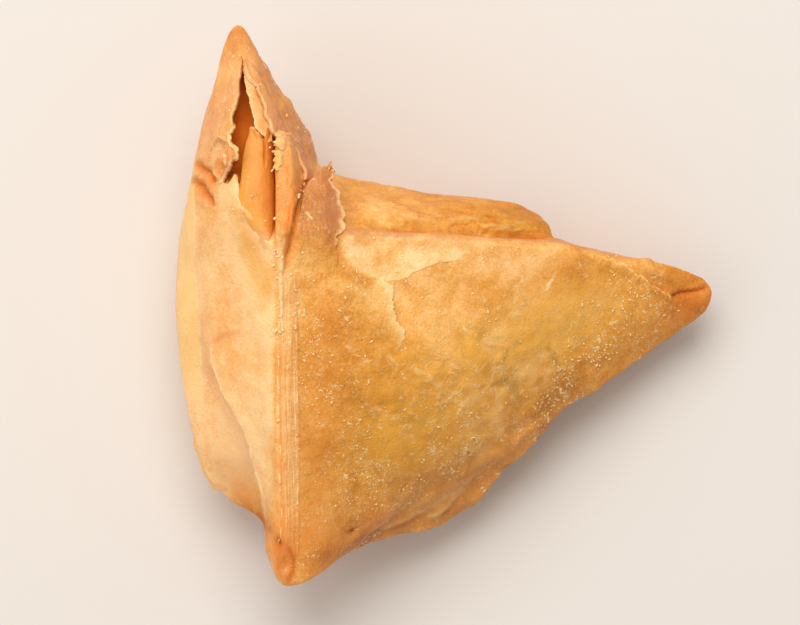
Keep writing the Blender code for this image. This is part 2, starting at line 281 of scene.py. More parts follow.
def crustGrid():
    # columns run round the crown; rows run from the crown over the widest line to the seat
    line = widestLine(crust["columns"])
    edge = line[:, 2:3]
    share = np.linspace(0, 1, crust["roofRows"] + 1)[None, 1:]
    x, y, lift = flank(line, crust["crown"][:2], (4, 7), share)
    z = edge + (roof(x, y) - edge) * lift
    top = np.stack([x, y, z], -1)
    share = np.linspace(1, 0, crust["underRows"] + 1)[None, 1:-1]
    x, y, drop = flank(line, crust["seat"], (5, 7), share)
    z = np.maximum(edge - (edge - underside(x, y)) * drop ** 0.8, 0)
    return np.concatenate([top, np.stack([x, y, z], -1)], 1)


def outward(x, y):
    # how far out each point lies, from 0 at the crown to 1 at the widest line; that line's distance and
    # height
    line = widestLine(1440)
    cx, cy = crust["crown"][:2]
    turn, reach = np.arctan2(line[:, 1] - cy, line[:, 0] - cx), np.hypot(line[:, 0] - cx, line[:, 1] - cy)
    here = np.arctan2(y - cy, x - cx)
    far, edge = (np.interp(here, turn, values, period=2 * math.pi) for values in (reach, line[:, 2]))
    return np.clip(np.hypot(x - cx, y - cy) / far, 0, 1), far, edge


def closedHeight(x, y):  # height of the crust at any point: the roof, rounded down as crustGrid does it
    share, far, edge = outward(x, y)
    return edge + (roof(x, y) - edge) * np.sqrt(1 - share ** np.interp(far, (15, 60), (4, 7)))


def onCrust(x, y, offset):
    # points that lie on the crust with its relief, raised or sunk by an offset along the normal
    step = 0.05
    slopeX = (closedHeight(x + step, y) - closedHeight(x - step, y)) / (2 * step)
    slopeY = (closedHeight(x, y + step) - closedHeight(x, y - step)) / (2 * step)
    normals = np.stack([-slopeX, -slopeY, 1 + 0 * x], -1)
    normals = normals / np.linalg.norm(normals, axis=-1, keepdims=True)
    points = np.stack([x, y, closedHeight(x, y)], -1)
    return points + normals * (crustRelief(points) + offset)[..., None]


# lines that the relief and the colour masks, painted shade among them, follow, in the same millimetres
marks = {
    # where the outer layer ends on the front face, from the flap's corner down
    "layerEdge": [(-17.9, 11.2), (-17.2, 9.1), (-16.1, 7.0), (-14.7, 5.8), (-12.6, 4.8), (-10.5, 4.2),
                  (-9.3, 3.5), (-8.6, 2.5), (-8.8, 1.6), (-8.5, 0.4), (-8.9, -0.9), (-8.4, -2.3),
                  (-7.8, -3.3), (-6.8, -4.2), (-6.7, -5.2), (-7.2, -6.0)],
    # lower border of the pale patch under the seam, from right to left
    "patchEdge": [(8.0, 9.9), (4.4, 9.4), (2.0, 7.7), (-0.9, 7.3), (-3.0, 6.6), (-5.5, 5.4), (-6.4, 4.6),
                  (-8.0, 4.1), (-10.5, 4.2), (-12.6, 4.8), (-14.7, 5.8), (-16.1, 7.0), (-17.2, 9.1)],
    "tipCrease": [(39.0, 1.4), (40.6, 2.0), (43.0, 2.5), (44.6, 3.0)],
    "horn": [(-34.2, 46.5), (-32.2, 39.4), (-30.1, 33.9), (-27.5, 29.8), (-25.9, 27.2), (-23.8, 22.5)],
    # on the wide end: its border, its pale band, the fold over the lobe, and slanting streaks
    "endLine": [(-42.5, 18.0), (-42.4, 10.0), (-42.2, 4.0), (-41.9, 0.1), (-41.6, -4.2), (-41.5, -9.5),
                (-41.2, -14.0)],
    "endBand": [(-35.5, 12.5), (-34.6, 6.8), (-31.5, -1.0), (-29.6, -8.0), (-29.2, -20.0)],
    "lobeEdge": [(-39.6, -4.5), (-39.65, -7.1), (-39.3, -9.5), (-38.0, -13.5), (-36.8, -15.9), (-35.3, -18.6),
                 (-33.3, -22.7), (-32.3, -27.1), (-31.1, -31.5), (-30.6, -35.9)],
    "endStreak": [(-34.0, 11.0), (-32.6, 8.4), (-30.4, 3.6), (-28.9, -0.4)],
    "endPale": [(-36.5, 10.5), (-34.6, 6.5), (-32.2, 2.2), (-29.8, -2.3)],
    "endFold": [(-39.3, -6.6), (-37.6, -5.3), (-34.7, -4.6)],
    # beside the flap, and the tears at the outer side of the horn
    "groove": [(-23.4, 21.4), (-24.0, 18.0), (-24.7, 14.7), (-25.4, 11.6), (-26.1, 9.2), (-26.9, 7.2)],
    "hornTear": [(-42.0, 23.9), (-41.4, 23.2), (-40.0, 22.5), (-39.5, 21.2)],
    "lowTear": [(-42.8, 21.2), (-41.5, 20.2), (-40.4, 18.4), (-38.9, 16.8)],
    "vein1": [(-16.5, -7.3), (-13.5, -9.6), (-10.5, -9.0), (-7.2, -10.3), (-3.4, -11.7), (-1.0, -13.5),
              (1.5, -12.6)],
    "vein2": [(-3.5, -14.5), (0.4, -16.1), (3.1, -17.7), (4.8, -17.1), (9.0, -19.3), (11.5, -20.3)],
    "vein3": [(-1.7, 1.2), (2.7, -3.4), (6.3, -5.8), (10.0, -4.0), (13.4, 0.2)],
    "vein4": [(7.6, -6.0), (9.3, -9.8), (7.0, -12.0), (9.5, -15.5), (8.4, -18.0)],
    "vein5": [(-14.0, -16.0), (-11.0, -19.0), (-6.5, -18.0), (-2.5, -20.5)],
    # creases where the front face turns under, and burst bubbles with their radius
    "tuck1": [(-11.4, -39.2), (-3.6, -35.8), (0.9, -32.7), (2.9, -30.9)],
    "tuck2": [(-2.6, -37.1), (0.9, -34.3), (3.9, -31.4), (7.3, -28.8)],
    "bubbles": [(4.8, -22.9, 0.45), (4.0, -25.0, 0.55), (3.3, -23.9, 0.25)],
}
veins = ("vein1", "vein2", "vein3", "vein4", "vein5")


def ridges(p, names, width):
    # thin broken ridges: a bell across each line, which wanders and comes and goes along it
    total = 0
    for k, name in enumerate(names):
        wander = (cloud(p, 1.6, 200 + k, 2) - 0.5) * 2.6
        shown = ease((cloud(p, 1.1, 210 + k) - 0.4) / 0.3)
        total = total + bell(toMark(p[..., 0], p[..., 1], name)[0] + wander, width) * shown
    return total


def zones(p):
    # how much each point belongs to the front, the far side and the wide end, and how far the front has
    # turned under
    x, y = p[..., 0], p[..., 1]
    seam = y - seamLine(x)
    front = ease(-seam / 1.0 + 0.4) * ease((x + 28.0) / 1.5)
    back = ease(seam / 1.0) * ease((x + 20) / 3)
    end = ease((-28.3 - x) / 1.2)
    turned = ease((softLine(x, crust["foldX"], crust["foldY"]) - y) / 3.0) * front
    return seam, front, back, end, turned


def hornSideShare(x, y):  # 1 on the outer side of the horn
    return ease((x - np.interp(y, (20, 40), (-26, -33))) / 1.5) * ease((y - 23) / 3)


def stack(x, y, z):  # points with these coordinates; z may be one number
    return np.stack([x, y, z + 0 * x], -1)


def alongSeam(x, start, rise, stop, fall):  # 1 on a stretch of the seam, easing in and out
    return ease((x - start) / rise) * ease((stop - x) / fall)


def lipLayers(p):  # field of the lip's rough layers, drawn out along the seam
    return cloud(p * (0.30, 1, 1), 0.9, 31, 2)


def endStreaks(x, y):  # fine slanting lines on the wide end beside the rim, from -1 to 1
    c, s = math.cos(math.radians(-62)), math.sin(math.radians(-62))
    field = cloud(stack((x * c + y * s) * 0.10, y * c - x * s, 0), 0.8, 43, 2) - 0.5
    return 2 * field * mound(x, y, -30.8, 3.5, 3.0, 8.0, 18)


def backFlake(p):  # a bumpy piece of pale skin on the far side, near the flap
    field = mound(p[..., 0], p[..., 1], -9.8, 15.4, 5.2, 1.9, -8) + 0.5 * (cloud(p, 1.3, 37, 2) - 0.5)
    return ease((field - 0.38) / 0.12)


# heights of the crust's relief in millimetres; a row is a height and a mound's place, size and turn
relief = {
    "lumps": 0.34, "bumps": 0.14, "grain": 0.05, "lowGrain": 0.12, "veins": 0.16, "wrinkles": 0.22,
    "turnedFolds": 0.85, "turnedBumps": 0.40, "seamRidge": 0.22, "valley": 0.55, "lip": 0.8, "lipLayers": 1.2,
    "backGrain": 0.28, "crease": 0.9, "endBand": 0.30, "endBumps": 0.25, "endFold": 0.22, "groove": 0.8,
    "tears": 0.8, "streaks": 0.14, "hornBumps": 0.50, "hornGrain": 0.16,
    "wrinkled": [(1, 2, -13, 15, 9), (1, 17, -8, 12, 6), (0.6, -9, -24, 9, 7)],
    "swollen": [(1, 5, 16.4, 8, 1.6, -8), (1, 14.5, 14.2, 6, 1.4, -34)],
    "dents": [
        (-0.5, -12.6, -39.3, 2.4, 0.8, 24), (-0.9, 37.5, 3.6, 4.5, 1.6, -22), (0.3, 43.0, 0.6, 1.6, 1.2),
        (0.35, 34.7, 7.8, 0.8, 0.7), (-0.65, -26.9, -43.9, 0.9, 1.6, -8), (0.3, -27.0, -43.9, 2.0, 2.8, -8),
        (-0.7, -28.2, -40.2, 0.6, 0.8), (-0.8, -15.6, -38.4, 0.75, 0.45, 20)],
}


def crustRelief(p):
    # how far each point stands out along its normal: the sum of lumps and grain, which are clouds, of folds
    # and ridges, which are bells across lines, and of dents, which are mounds
    x, y, z = p[..., 0], p[..., 1], p[..., 2]
    seam, front, back, end, turned = zones(p)
    low = ease((16 - z) / 8)
    total = relief["lumps"] * rough(p, 9, 11) + relief["bumps"] * rough(p, 3.1, 12, 2) * (0.4 + 0.6 * front)
    total += (relief["grain"] + relief["lowGrain"] * low * (x > -28)) * rough(p, 1.4, 13, 2)
    total += relief["veins"] * ridges(p, veins, 0.24) * front
    wrinkled = front * spotted(x, y, relief["wrinkled"])
    total += relief["wrinkles"] * wrinkled * (1 - np.abs(cloud(p, 3.4, 15, 2) - 0.5) * 5)

    # creases on the part that turns under, running along the fold
    c, s = math.cos(math.radians(33)), math.sin(math.radians(33))
    along = np.stack([(x * c + y * s) * 0.28, y * c - x * s, z * 0.3], -1)
    folds = relief["turnedFolds"] * rough(along, 2.6, 51)
    total += turned * (folds + relief["turnedBumps"] * rough(p, 1.5, 53, 2))
    for name in ("tuck1", "tuck2"):
        gap, share = toMark(x, y, name)
        reach = ease(share / 0.1) * ease((0.75 - share) / 0.5)
        total += reach * (0.30 * bell(gap - 0.8, 0.5) - 0.5 * bell(gap + 0.2, 0.45))

    # beyond the seam: a valley, a swollen lip with rough layers, and a flake
    total += relief["seamRidge"] * bell(seam, 0.45) * alongSeam(x, -20, 4, 30, 8)
    valley = bell(seam - 1.3, 0.7) * alongSeam(x, -18, 4, 26, 6)
    total -= (relief["valley"] + 1.2 * mound(x, y, 7, 14, 11, 6)) * valley
    total += back * relief["lip"] * spotted(x, y, relief["swollen"])
    total += back * relief["lipLayers"] * (lipLayers(p) - 0.5) * mound(x, y, 9, 14.2, 11, 2.6, -13)
    total += back * backFlake(p) * (0.30 + 0.8 * (cloud(p, 0.8, 35, 2) - 0.5))
    total += back * relief["backGrain"] * rough(p * (0.5, 1, 1), 1.6, 33, 2)

    # creases, dents and pits, and burst bubbles with a raised ring
    total -= relief["crease"] * bell(toMark(x, y, "tipCrease")[0], 0.3) * (z > 9)
    total += spotted(x, y, relief["dents"])
    for cx, cy, r in marks["bubbles"]:
        gap = np.hypot(x - cx, y - cy)
        total += front * 0.40 * (bell(gap - r, 0.25) - bell(gap, 0.7 * r))

    band, share = toMark(x, y, "endBand")
    total += relief["endBand"] * bell(band, 1.3) * end * ease(share / 0.2)
    total += relief["endBumps"] * end * rough(p * (1, 0.3, 1), 4.0, 41)
    fold, share = toMark(x, y, "endFold")
    total -= relief["endFold"] * bell(fold, 0.35) * ease(share / 0.1) * ease((1 - share) / 0.4)
    groove, share = toMark(x, y, "groove")
    total -= relief["groove"] * bell(groove, 0.7) * ease(share / 0.1) * ease((1 - share) / 0.15)
    for name in ("hornTear", "lowTear"):
        total -= relief["tears"] * bell(toMark(x, y, name)[0], 0.45)
    total += relief["streaks"] * endStreaks(x, y) * end
    total += 0.5 * mound(x, y, -41, 20, 2.5, 4) * rough(p, 1.2, 45, 2)
    hornBumps = relief["hornBumps"] * rough(p, 2.1, 47, 3) + 0.6 * mound(x, y, -26.0, 35.2, 1.3, 1.6)
    total += hornSideShare(x, y) * hornBumps
    return total + relief["hornGrain"] * ease((y - 24) / 4) * rough(stack(x * 1.2, y * 0.5, z), 1.4, 49, 2)


# where the finish changes, with painted shade and painted light among it: for each mask and zone, rows of an
# amount and a mound's place, size and turn
brownsAndShading = {
    "tone": {
        "all": [
            (0.22, -14, -17, 11, 12), (0.20, -4, -26, 13, 8), (0.06, -20, -2, 4, 10),
            (0.12, -21.5, -29, 3.5, 9), (0.24, 32, -5, 13, 6, 25), (0.16, 42, 1, 5, 5),
            (0.26, 17, -19, 16, 6, 35), (0.20, 7.5, -10, 2.5, 2.0), (-0.10, 9.4, -6.6, 2.5, 2),
            (-0.10, 15, -4, 9, 6), (0.14, 30, 5, 9, 3, -12), (0.30, -15, -39.5, 8, 3.6, 30),
            (0.16, 21, 5, 5, 2.5), (-0.24, 7, -23.5, 5, 3.5, 40), (0.20, -21, -43.5, 4, 2.4, 20),
            (-0.10, -21, -38, 2.5, 3), (0.10, 42, 0, 3, 2), (-0.10, 9.4, -6.7, 3, 3), (0.10, -20, 8, 2, 3),
            # the 0.55 row at (-12.6, -39.3) is painted shade in the undercut where the front face's edge
            # overhangs the belly
            (-0.10, -27.8, 35, 1.3, 2.6), (0.10, -30.4, 36.9, 1, 2), (0.55, -12.6, -39.3, 2.6, 0.9, 24),
            (-0.12, -26.6, 34.6, 2, 4, 30), (0.10, -30.2, 37, 2, 4, 30), (0.50, -34.9, 47.0, 3.0, 4.5),
            # the 0.8 row at (-36.0, 22.9) is painted shade in the slit beside the torn end of the left layer
            (0.14, -37, 33, 5, 10), (0.8, -36.0, 22.9, 1.5, 2.6, -38), (0.45, -28.1, -40.2, 0.7, 1.0)],
        "front": [(-0.14, 10, 7.5, 10, 3.0, -3), (0.10, -9, -10, 8, 5), (-0.10, -4, -4, 4, 4),
                  (-0.08, -15.2, 8.4, 2, 2)],
        "back": [(-0.10, -12.5, 17.3, 2.5, 2), (0.20, 12.5, 14.6, 4, 2, -20), (-0.08, 7.5, 15, 2, 1.2),
                 (0.06, -6, 16, 4, 2), (0.12, -16.5, 18.5, 4, 3)],
        # the first row, at (-40.6, -9), is painted light that offsets the shade of the lobe's crease
        "end": [(-0.14, -40.6, -9, 1.4, 7), (-0.16, -37, -28, 3, 5), (-0.14, -34.5, -27, 3.5, 7),
                (-0.18, -44.2, -2, 1.5, 7), (0.06, -39, -10, 4, 8), (-0.10, -37, -22, 5, 9),
                (0.50, -32.6, -36.2, 4.5, 2.2, -30), (0.08, -31, -4, 1.5, 8), (-0.12, -35.5, -29.5, 4, 4)]},
    "rosy": {
        "all": [(0.4, -13, -39, 8, 3, 40), (0.35, 37, -4.5, 8, 2.5, 30), (0.15, -16, 9, 2.5, 3),
                (0.5, -36, 36, 5, 12), (0.45, -40, 29, 2.5, 6), (0.15, -27.2, -42.5, 2.0, 3.5)]},
    "orange": {
        "all": [(0.85, -25, -41, 6, 6), (0.40, -21, -22, 4, 18), (0.25, -37, -28, 4, 7), (0.45, 42, 2, 6, 5),
                (0.2, -21, -2, 2.5, 6), (0.3, -12, -37, 4, 3, 40)],
        "front": [(0.25, 18, 6, 12, 4)],
        "end": [(0.5, -33.5, -32, 3, 5), (0.35, -35.6, -9, 3.5, 8), (0.15, -33.3, -31.8, 2.4, 3.2)]},
    "yolk": {
        "all": [(0.9, 20, -4, 13, 7, 15), (0.8, -1, -14, 11, 9), (0.8, -9, -23, 10, 6), (0.5, 8, -7, 7, 4),
                (0.4, 18, -1, 6, 4)],
        "end": [(0.9, -33.0, -34.0, 4, 2.5, -30), (0.6, -32, 6, 2.5, 5, 25), (0.5, -34.0, 11, 1.5, 3, 30),
                (0.6, -33.3, -31.8, 2.4, 3.2)]},
    # deep: the dough's own deep orange, and painted shade in creases, tears, grooves, slits and hollows
    "deep": {
        # the rows at (-36.0, 22.9) and (-35.0, 26.2) are painted shade in the slit
        "all": [(0.8, -15.6, -38.4, 0.9, 0.6, 20), (0.8, -36.0, 22.9, 1.5, 2.6, -38),
                (0.8, -35.0, 26.2, 0.9, 3.4), (0.45, 42, 0, 3, 2), (0.45, -27, -43.5, 1.4, 2.2),
                (0.95, -28.1, -40.2, 0.7, 1.0)],
        "end": [(0.28, -32.5, -35.3, 3.5, 1.6, -35)]},
    "blister": {
        "all": [(0.9, 24, -12, 12, 6, 30), (0.7, -4, -25, 15, 8), (0.6, -19, -8, 6, 12),
                (0.5, 35, 2, 7, 5), (0.6, -38, 32, 4, 10), (0.5, -25, -42, 4, 6),
                (0.5, -14, -36, 6, 5, 40), (0.25, -40, 20, 4, 4)],
        "end": [(0.8, -32.5, -34.5, 3.5, 2.5), (0.5, -31, -14, 2, 7)]},
    "veined": {
        "front": [(1, 1, -13, 16, 9), (0.8, 18, -8, 10, 7), (0.7, -10, -26, 10, 8, 30),
                  (-0.7, 7, -22, 4.5, 3, 40)]},
    "blotches": [(1, -13.6, 11.0, 2.2, 1.0), (1, -11.4, 7.6, 0.7, 1.1), (1, -4, 10.3, 3, 0.8, -5)],
    # pale dry skin on the belly
    "dried": [(0.16, 5.0, -24.4, 2.6, 1.8, 30), (0.12, 9.5, -21.0, 2.6, 1.6, 30)],
}


def browningAndShading(p):
    # masks from 0 to 1 for the finish: how brown the dough is, with painted shade and painted light in some
    # places, how orange, rosy and yellow, how deep orange with painted shade in creases and hollows, how
    # blistered and wrinkled, and how much of it is pale dry skin, with painted highlights on ridges; each is
    # a sum of mounds, of bells across lines, and of clouds, held between 0 and 1
    x, y, z = p[..., 0], p[..., 1], p[..., 2]
    seam, front, back, end, turned = zones(p)
    shares = {"all": 1, "front": front, "back": back, "end": end}
    tone, rosy, orange, yolk, deep, blister, veined = (
        sum(shares[zone] * spotted(x, y, rows) for zone, rows in brownsAndShading[key].items())
        for key in ("tone", "rosy", "orange", "yolk", "deep", "blister", "veined"))
    side, flake = hornSideShare(x, y), backFlake(p)
    lipped = back * mound(x, y, 9, 14.2, 11, 2.6, -13)

    # the wide end: its border, band, streaks and lobe
    line, lobe = toMark(x, y, "endLine")[0], toMark(x, y, "lobeEdge")[0]
    band, reach = toMark(x, y, "endBand")
    above = end * ease((y + 20) / 12)
    margin = above * ease((0.1 - line) / 0.5)
    tone += 0.42 - end * (0.18 * ease((y + 40) / 12) + 0.06 + 0.07 * bell(band, 1.6)) - 0.05 * margin
    tone -= 0.22 * above * ease((0.2 - line) / 0.5) - 0.30 * end * endStreaks(x, y)
    tone -= 0.10 * end * bell(toMark(x, y, "endPale")[0], 0.9)
    tone += 0.35 * bell(lobe + 0.6, 0.4) * ease((-30 - y) / 3) * ease((y + 38) / 1.5)
    rosy += end * (0.16 + 0.30 * bell(line - 0.9, 1.1) + 0.34 * bell(lobe + 1.0, 1.2)) * ease((y + 32) / 8)
    rosy += end * 0.4 * bell(toMark(x, y, "endFold")[0], 0.5)
    orange += 0.12 * end
    streak, run = toMark(x, y, "endStreak")
    yolk += 0.6 * margin + 0.9 * end * bell(streak, 1.4) * ease(run / 0.2) * ease((1 - run) / 0.3)
    blister += 0.25 * end

    # the front: its pale patch, the end of its outer layer with a band of painted shade beside its edge, and
    # mottling
    blur = 0.35 + 0.7 * ease((-11 - x) / 3) + 0.6 * ease((x - 0) / 4)
    patch = ease(0.5 - toMark(x, y, "patchEdge")[0] / blur) * front
    patch = patch * ease((x + 18) / 1.5) * ease((10 - x) / 14)
    blotched = patch * spotted(x, y, brownsAndShading["blotches"])
    edge, along = toMark(x, y, "layerEdge")
    tone += 0.16 * blotched - 0.26 * patch + 0.20 * bell(edge + 1.4, 1.2) * ease((0.45 - along) / 0.1) * front
    tone += front * 0.5 * (cloud(p, 4.2, 61, 3) - 0.5) * (mound(x, y, 3, -14, 22, 14) + 0.3)
    tone += 0.10 * turned + 0.25 * ease((4 - z) / 4) * (1 - turned)
    orange += 0.4 * blotched
    rosy += 0.45 * turned
    yolk += 0.25 * turned
    blister += 0.35 * front

    # the seam, with a painted shadow line in the valley behind it; the lip beyond it, with painted shade in
    # the hollows between its layers besides their honey colour; and the far side
    seamLength = alongSeam(x, -20, 3, 34, 8)
    tone += 0.10 * bell(seam - 1.2, 0.9) * alongSeam(x, -18, 4, 26, 6)
    tone += 0.34 * bell(seam - 0.1, 0.4) * seamLength * cloud(p, 1.5, 67)
    tone += 0.11 * back - 0.11 * back * flake + 0.34 * lipped * lipLayers(p)
    rosy += 1.0 * bell(seam - 0.1, 0.45) * seamLength
    yolk += 0.5 * lipped
    deep += lipped * (0.30 * mound(x, y, 9, 13.6, 9, 1.6, -10) + 0.4 * ease((0.5 - lipLayers(p)) / 0.2))
    deep += 0.7 * bell(seam - 1.0, 0.5) * mound(x, y, 12, 11.5, 9, 4)

    # the horn, its trough and tears, and the groove beside the flap; the tears, the groove and the tip's
    # crease are darkened by painted shade as well
    tone += 0.28 * side + 0.50 * ease((y - 24) / 6) * (cloud(stack(x * 1.3, y * 0.4, 0), 1.6, 69, 3) - 0.5)
    rosy, orange = (rosy + 0.65 * side) * (1 - margin), orange * (1 - margin)
    frayed = mound(x, y, -41.2, 20.6, 2.0, 3.2)
    tone, orange, yolk = tone + 0.16 * frayed, orange + 0.45 * frayed, yolk + 0.3 * frayed
    groove = bell(toMark(x, y, "groove")[0], 0.75)
    orange, yolk = orange + 0.5 * groove, yolk + 0.4 * groove
    deep += ease((trough(x, y) - 0.6) / 2.5) * (z > 20) + 0.45 * groove
    deep += 0.9 * bell(toMark(x, y, "hornTear")[0], 0.65) + 0.9 * bell(toMark(x, y, "lowTear")[0], 0.65)
    deep += 0.8 * bell(toMark(x, y, "tipCrease")[0], 0.35) * (x > 38)
    blister += 0.6 * side

    # a rosy ring round the dent in the foot, darker on its right side by painted shade, and the lobe's lower
    # border
    ring, right = bell(np.hypot((x + 26.9) / 1.2, (y + 43.6) / 2.6) - 1, 0.28), ease((x + 27.4) / 1.0)
    tone, rosy, deep = tone + 0.25 * ring * right, rosy + 0.35 * ring, deep + (0.25 + 0.45 * right) * ring
    lobeFoot = end * mound(x, y, -32.2, -36.3, 3.6, 1.1, -32)
    orange, yolk, deep = orange * (1 - lobeFoot), yolk * (1 - lobeFoot), deep + 0.45 * lobeFoot

    # pale dry skin on the end's band, the belly, the lobe's edge and the flake, and painted highlights along
    # the vein ridges and the tucks' ridges
    fleck = 0.40 * ridges(p, veins, 0.26) * front + 0.25 * bell(band + 0.2, 1.2) * end * ease(reach / 0.2)
    for k, row in enumerate(brownsAndShading["dried"]):
        fleck += spotted(x, y, [row]) * ease((cloud(p, 0.9, 73 + 2 * k, 3) - 0.42) / 0.2)
    fleck += 0.40 * bell(lobe - 0.15, 0.25) * ease((-27 - y) / 3) * ease((y + 40) / 2)
    fleck += 0.15 * flake * back * ease((cloud(p, 1, 65, 2) - 0.4) / 0.3)
    for name in ("tuck1", "tuck2"):
        gap, share = toMark(x, y, name)
        fleck += 0.35 * turned * bell(gap - 0.8, 0.4) * ease(share / 0.1) * cloud(p, 1.2, 71, 2)
    masks = {"tone": tone, "rosy": rosy, "orange": orange, "yolk": yolk, "deep": deep, "blister": blister,
             "veined": veined, "fleck": fleck}
    return {key: np.clip(value, 0, 1) for key, value in masks.items()}


def makeCrust():
    # the body's grid, moved along its normals by the relief, with the trough sunk in and both poles closed
    grid = crustGrid()
    x, y, z = grid[..., 0], grid[..., 1], grid[..., 2]
    normals = gridNormals(grid)
    flat = z <= 0.01                                            # the underside stays flat on the table
    masks = browningAndShading(grid)
    grid = grid + normals * (crustRelief(grid) * ~flat)[..., None]
    grid[..., 2] = np.where(flat, 0, np.maximum(grid[..., 2], 0))
    grid[..., 2] -= trough(x, y) * (z > 25)
    columns, rows = grid.shape[:2]
    (cx, cy), (sx, sy) = crust["crown"][:2], crust["seat"]
    poles = np.array([(cx, cy, grid[:, 0, 2].mean()), (sx, sy, 0)])
    points = np.concatenate([grid.reshape(-1, 3), poles])
    for key, value in masks.items():
        masks[key] = np.append(value.ravel(), [value[:, 0].mean(), value[:, -1].mean()])
    first, last, k = columns * rows, columns * rows + 1, np.arange(columns)
    top = np.stack([np.full(columns, first), k * rows, (k + 1) % columns * rows], 1)
    bottom = np.stack([np.full(columns, last), ((k + 1) % columns + 1) * rows - 1, (k + 1) * rows - 1], 1)
    faces = gridFaces(columns, rows, closed=True).tolist() + top.tolist() + bottom.tolist()
    return addMesh("crust", points, faces, masks)


pieces = [makeCrust()]
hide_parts("pastry")
print("crust", len(pieces[0].data.vertices), "points")


# layers of the open horn and of the faces: thin sheets between two lines

def torn(place, size, depth, seed):
    # ragged edge: how far a tear stands in or out at each millimetre along it, from two clouds, with the
    # coarse one sharpened by a power
    spot = np.stack([place, 0 * place + seed, 0 * place], -1)
    coarse, fine = cloud(spot, size, seed) - 0.5, cloud(spot, size / 3, seed + 1) - 0.5
    return depth * (2 * np.sign(coarse) * np.abs(coarse) ** 0.7 + 1.0 * fine)


def sheetPlace(spec, u, v):
    # plan of a sheet: points on straight lines across, from its left line (u = 0) to its right one (u = 1),
    # with torn amounts added at both sides and at the top and bottom ends
    sides = []
    for line in (spec["left"], spec["right"]):
        line = np.array(line, float)
        run = np.concatenate([[0], np.cumsum(np.hypot(*np.diff(line[:, :2], axis=0).T))])
        sides.append(np.stack([np.interp(v * run[-1], run, line[:, a]) for a in range(2)], -1))
    across = sides[1] - sides[0]
    width = np.maximum(np.linalg.norm(across, axis=-1), 0.3)
    depth = {side: np.interp(v, *amount) if isinstance(amount, tuple) else amount
             for side, amount in spec.get("torn", {}).items()}
    size, seed = spec.get("toothSize", 1.1), spec["seed"]
    start = torn(v * run[-1], size, depth.get("left", 0), seed) / width
    end = 1 + torn(v * run[-1], size, depth.get("right", 0), seed + 3) / width
    place = sides[0] + across * (start + (end - start) * u)[..., None]
    shape = np.interp(u, *spec.get("topShape", ((0, 1), (0, 0))))
    top = torn(place[..., 0], size, depth.get("top", 0), seed + 6) + shape
    bottom = torn(place[..., 0], size, depth.get("bottom", 0), seed + 9)
    place[..., 1] += top * ease(1 - v / 0.15) + bottom * ease((v - 0.85) / 0.15)
    return place[..., 0], place[..., 1]


def addLayer(name, points, columns, rows, masks, thick):
    # a grid of points given a thickness below it
    piece = addMesh(name, points.reshape(-1, 3), gridFaces(columns, rows).tolist(), masks)
    thickness = piece.modifiers.new("thickness", "SOLIDIFY")
    thickness.thickness, thickness.offset = thick * millimetre, -1
    pieces.append(piece)


def addSheet(name, spec, lay, **amounts):
    # a sheet's plan, laid down by a function of x, y, u and v, with low lumps; its masks are those of the
    # crust plus amounts, each a number or a function of the points, u and v
    columns, rows = spec["grid"]
    u, v = np.meshgrid(np.linspace(0, 1, columns), np.linspace(0, 1, rows), indexing="ij")
    x, y = sheetPlace(spec, u, v)
    points = lay(x, y, u, v)
    points[..., 2] += spec.get("lumps", 0.08) * rough(points, 1.5, spec["seed"] + 12, 2)
    held = np.minimum(y, spec["held"](x)) if "held" in spec else y
    masks = browningAndShading(np.stack([x, held, closedHeight(x, held)], -1))
    masks["deep"] = 0 * masks["deep"]
    for key, amount in amounts.items():
        masks[key] = np.clip(masks[key] + (amount(points, u, v) if callable(amount) else amount), 0, 1)
    addLayer(name, points, columns, rows, masks, spec["thick"])


def at(p, *place):  # a mound's height at each point
    return mound(p[..., 0], p[..., 1], *place)


hornLeft = {
    "grid": (90, 260), "thick": 0.7, "seed": 50, "toothSize": 1.5, "lumps": 0.10,
    "torn": {"right": ((0, 0.4, 0.6, 1), (0.05, 0.08, 0.25, 0.30)), "bottom": 0.45},
    "left": [(-35.6, 42.0), (-37.2, 38.0), (-38.3, 33.0), (-39.4, 28.0), (-40.6, 23.0)],
    "right": [(-34.5, 42.0), (-34.5, 40.7), (-34.9, 38.2), (-35.0, 36.0), (-35.3, 33.9), (-36.0, 31.9),
              (-36.0, 30.5), (-35.6, 30.1), (-35.7, 29.0), (-36.1, 28.5), (-36.0, 27.7), (-35.6, 26.4),
              (-34.9, 25.9), (-34.6, 25.2), (-34.7, 24.5), (-35.5, 24.5), (-36.3, 23.1), (-37.0, 22.0),
              (-37.7, 21.0)],
    # a hollow near its torn end, with the brow over it
    "hollow": (-38.0, 24.8, 1.7, 2.4, 15), "hollowColour": (-38, 24.6, 1.8, 3),
    "brow": [(-40.2, 24.6), (-40.0, 25.3), (-39.4, 26.8), (-38.6, 27.8), (-37.4, 28.2), (-36.6, 27.6)],
}


def layHornLeft(x, y, u, v):
    # sunk under the crust at its outer side, standing proud at the slit, plus the brow's bell and the
    # hollow's mound
    offset = 0.32 - 0.55 * ease((0.5 - u) / 0.45) - 0.5 * ease((0.08 - v) / 0.08)
    offset += 0.3 * ease((u - 0.8) / 0.2) * ease((v - 0.45) / 0.2)
    wrinkle = cloud(stack(x * 1.6, y * 0.7, 0), 1.0, 57, 2) - 0.5
    offset += 0.65 * bell(toLine(x, y, hornLeft["brow"])[0], 0.32)
    return onCrust(x, y, offset + mound(x, y, *hornLeft["hollow"]) * (1.8 * wrinkle - 0.6))


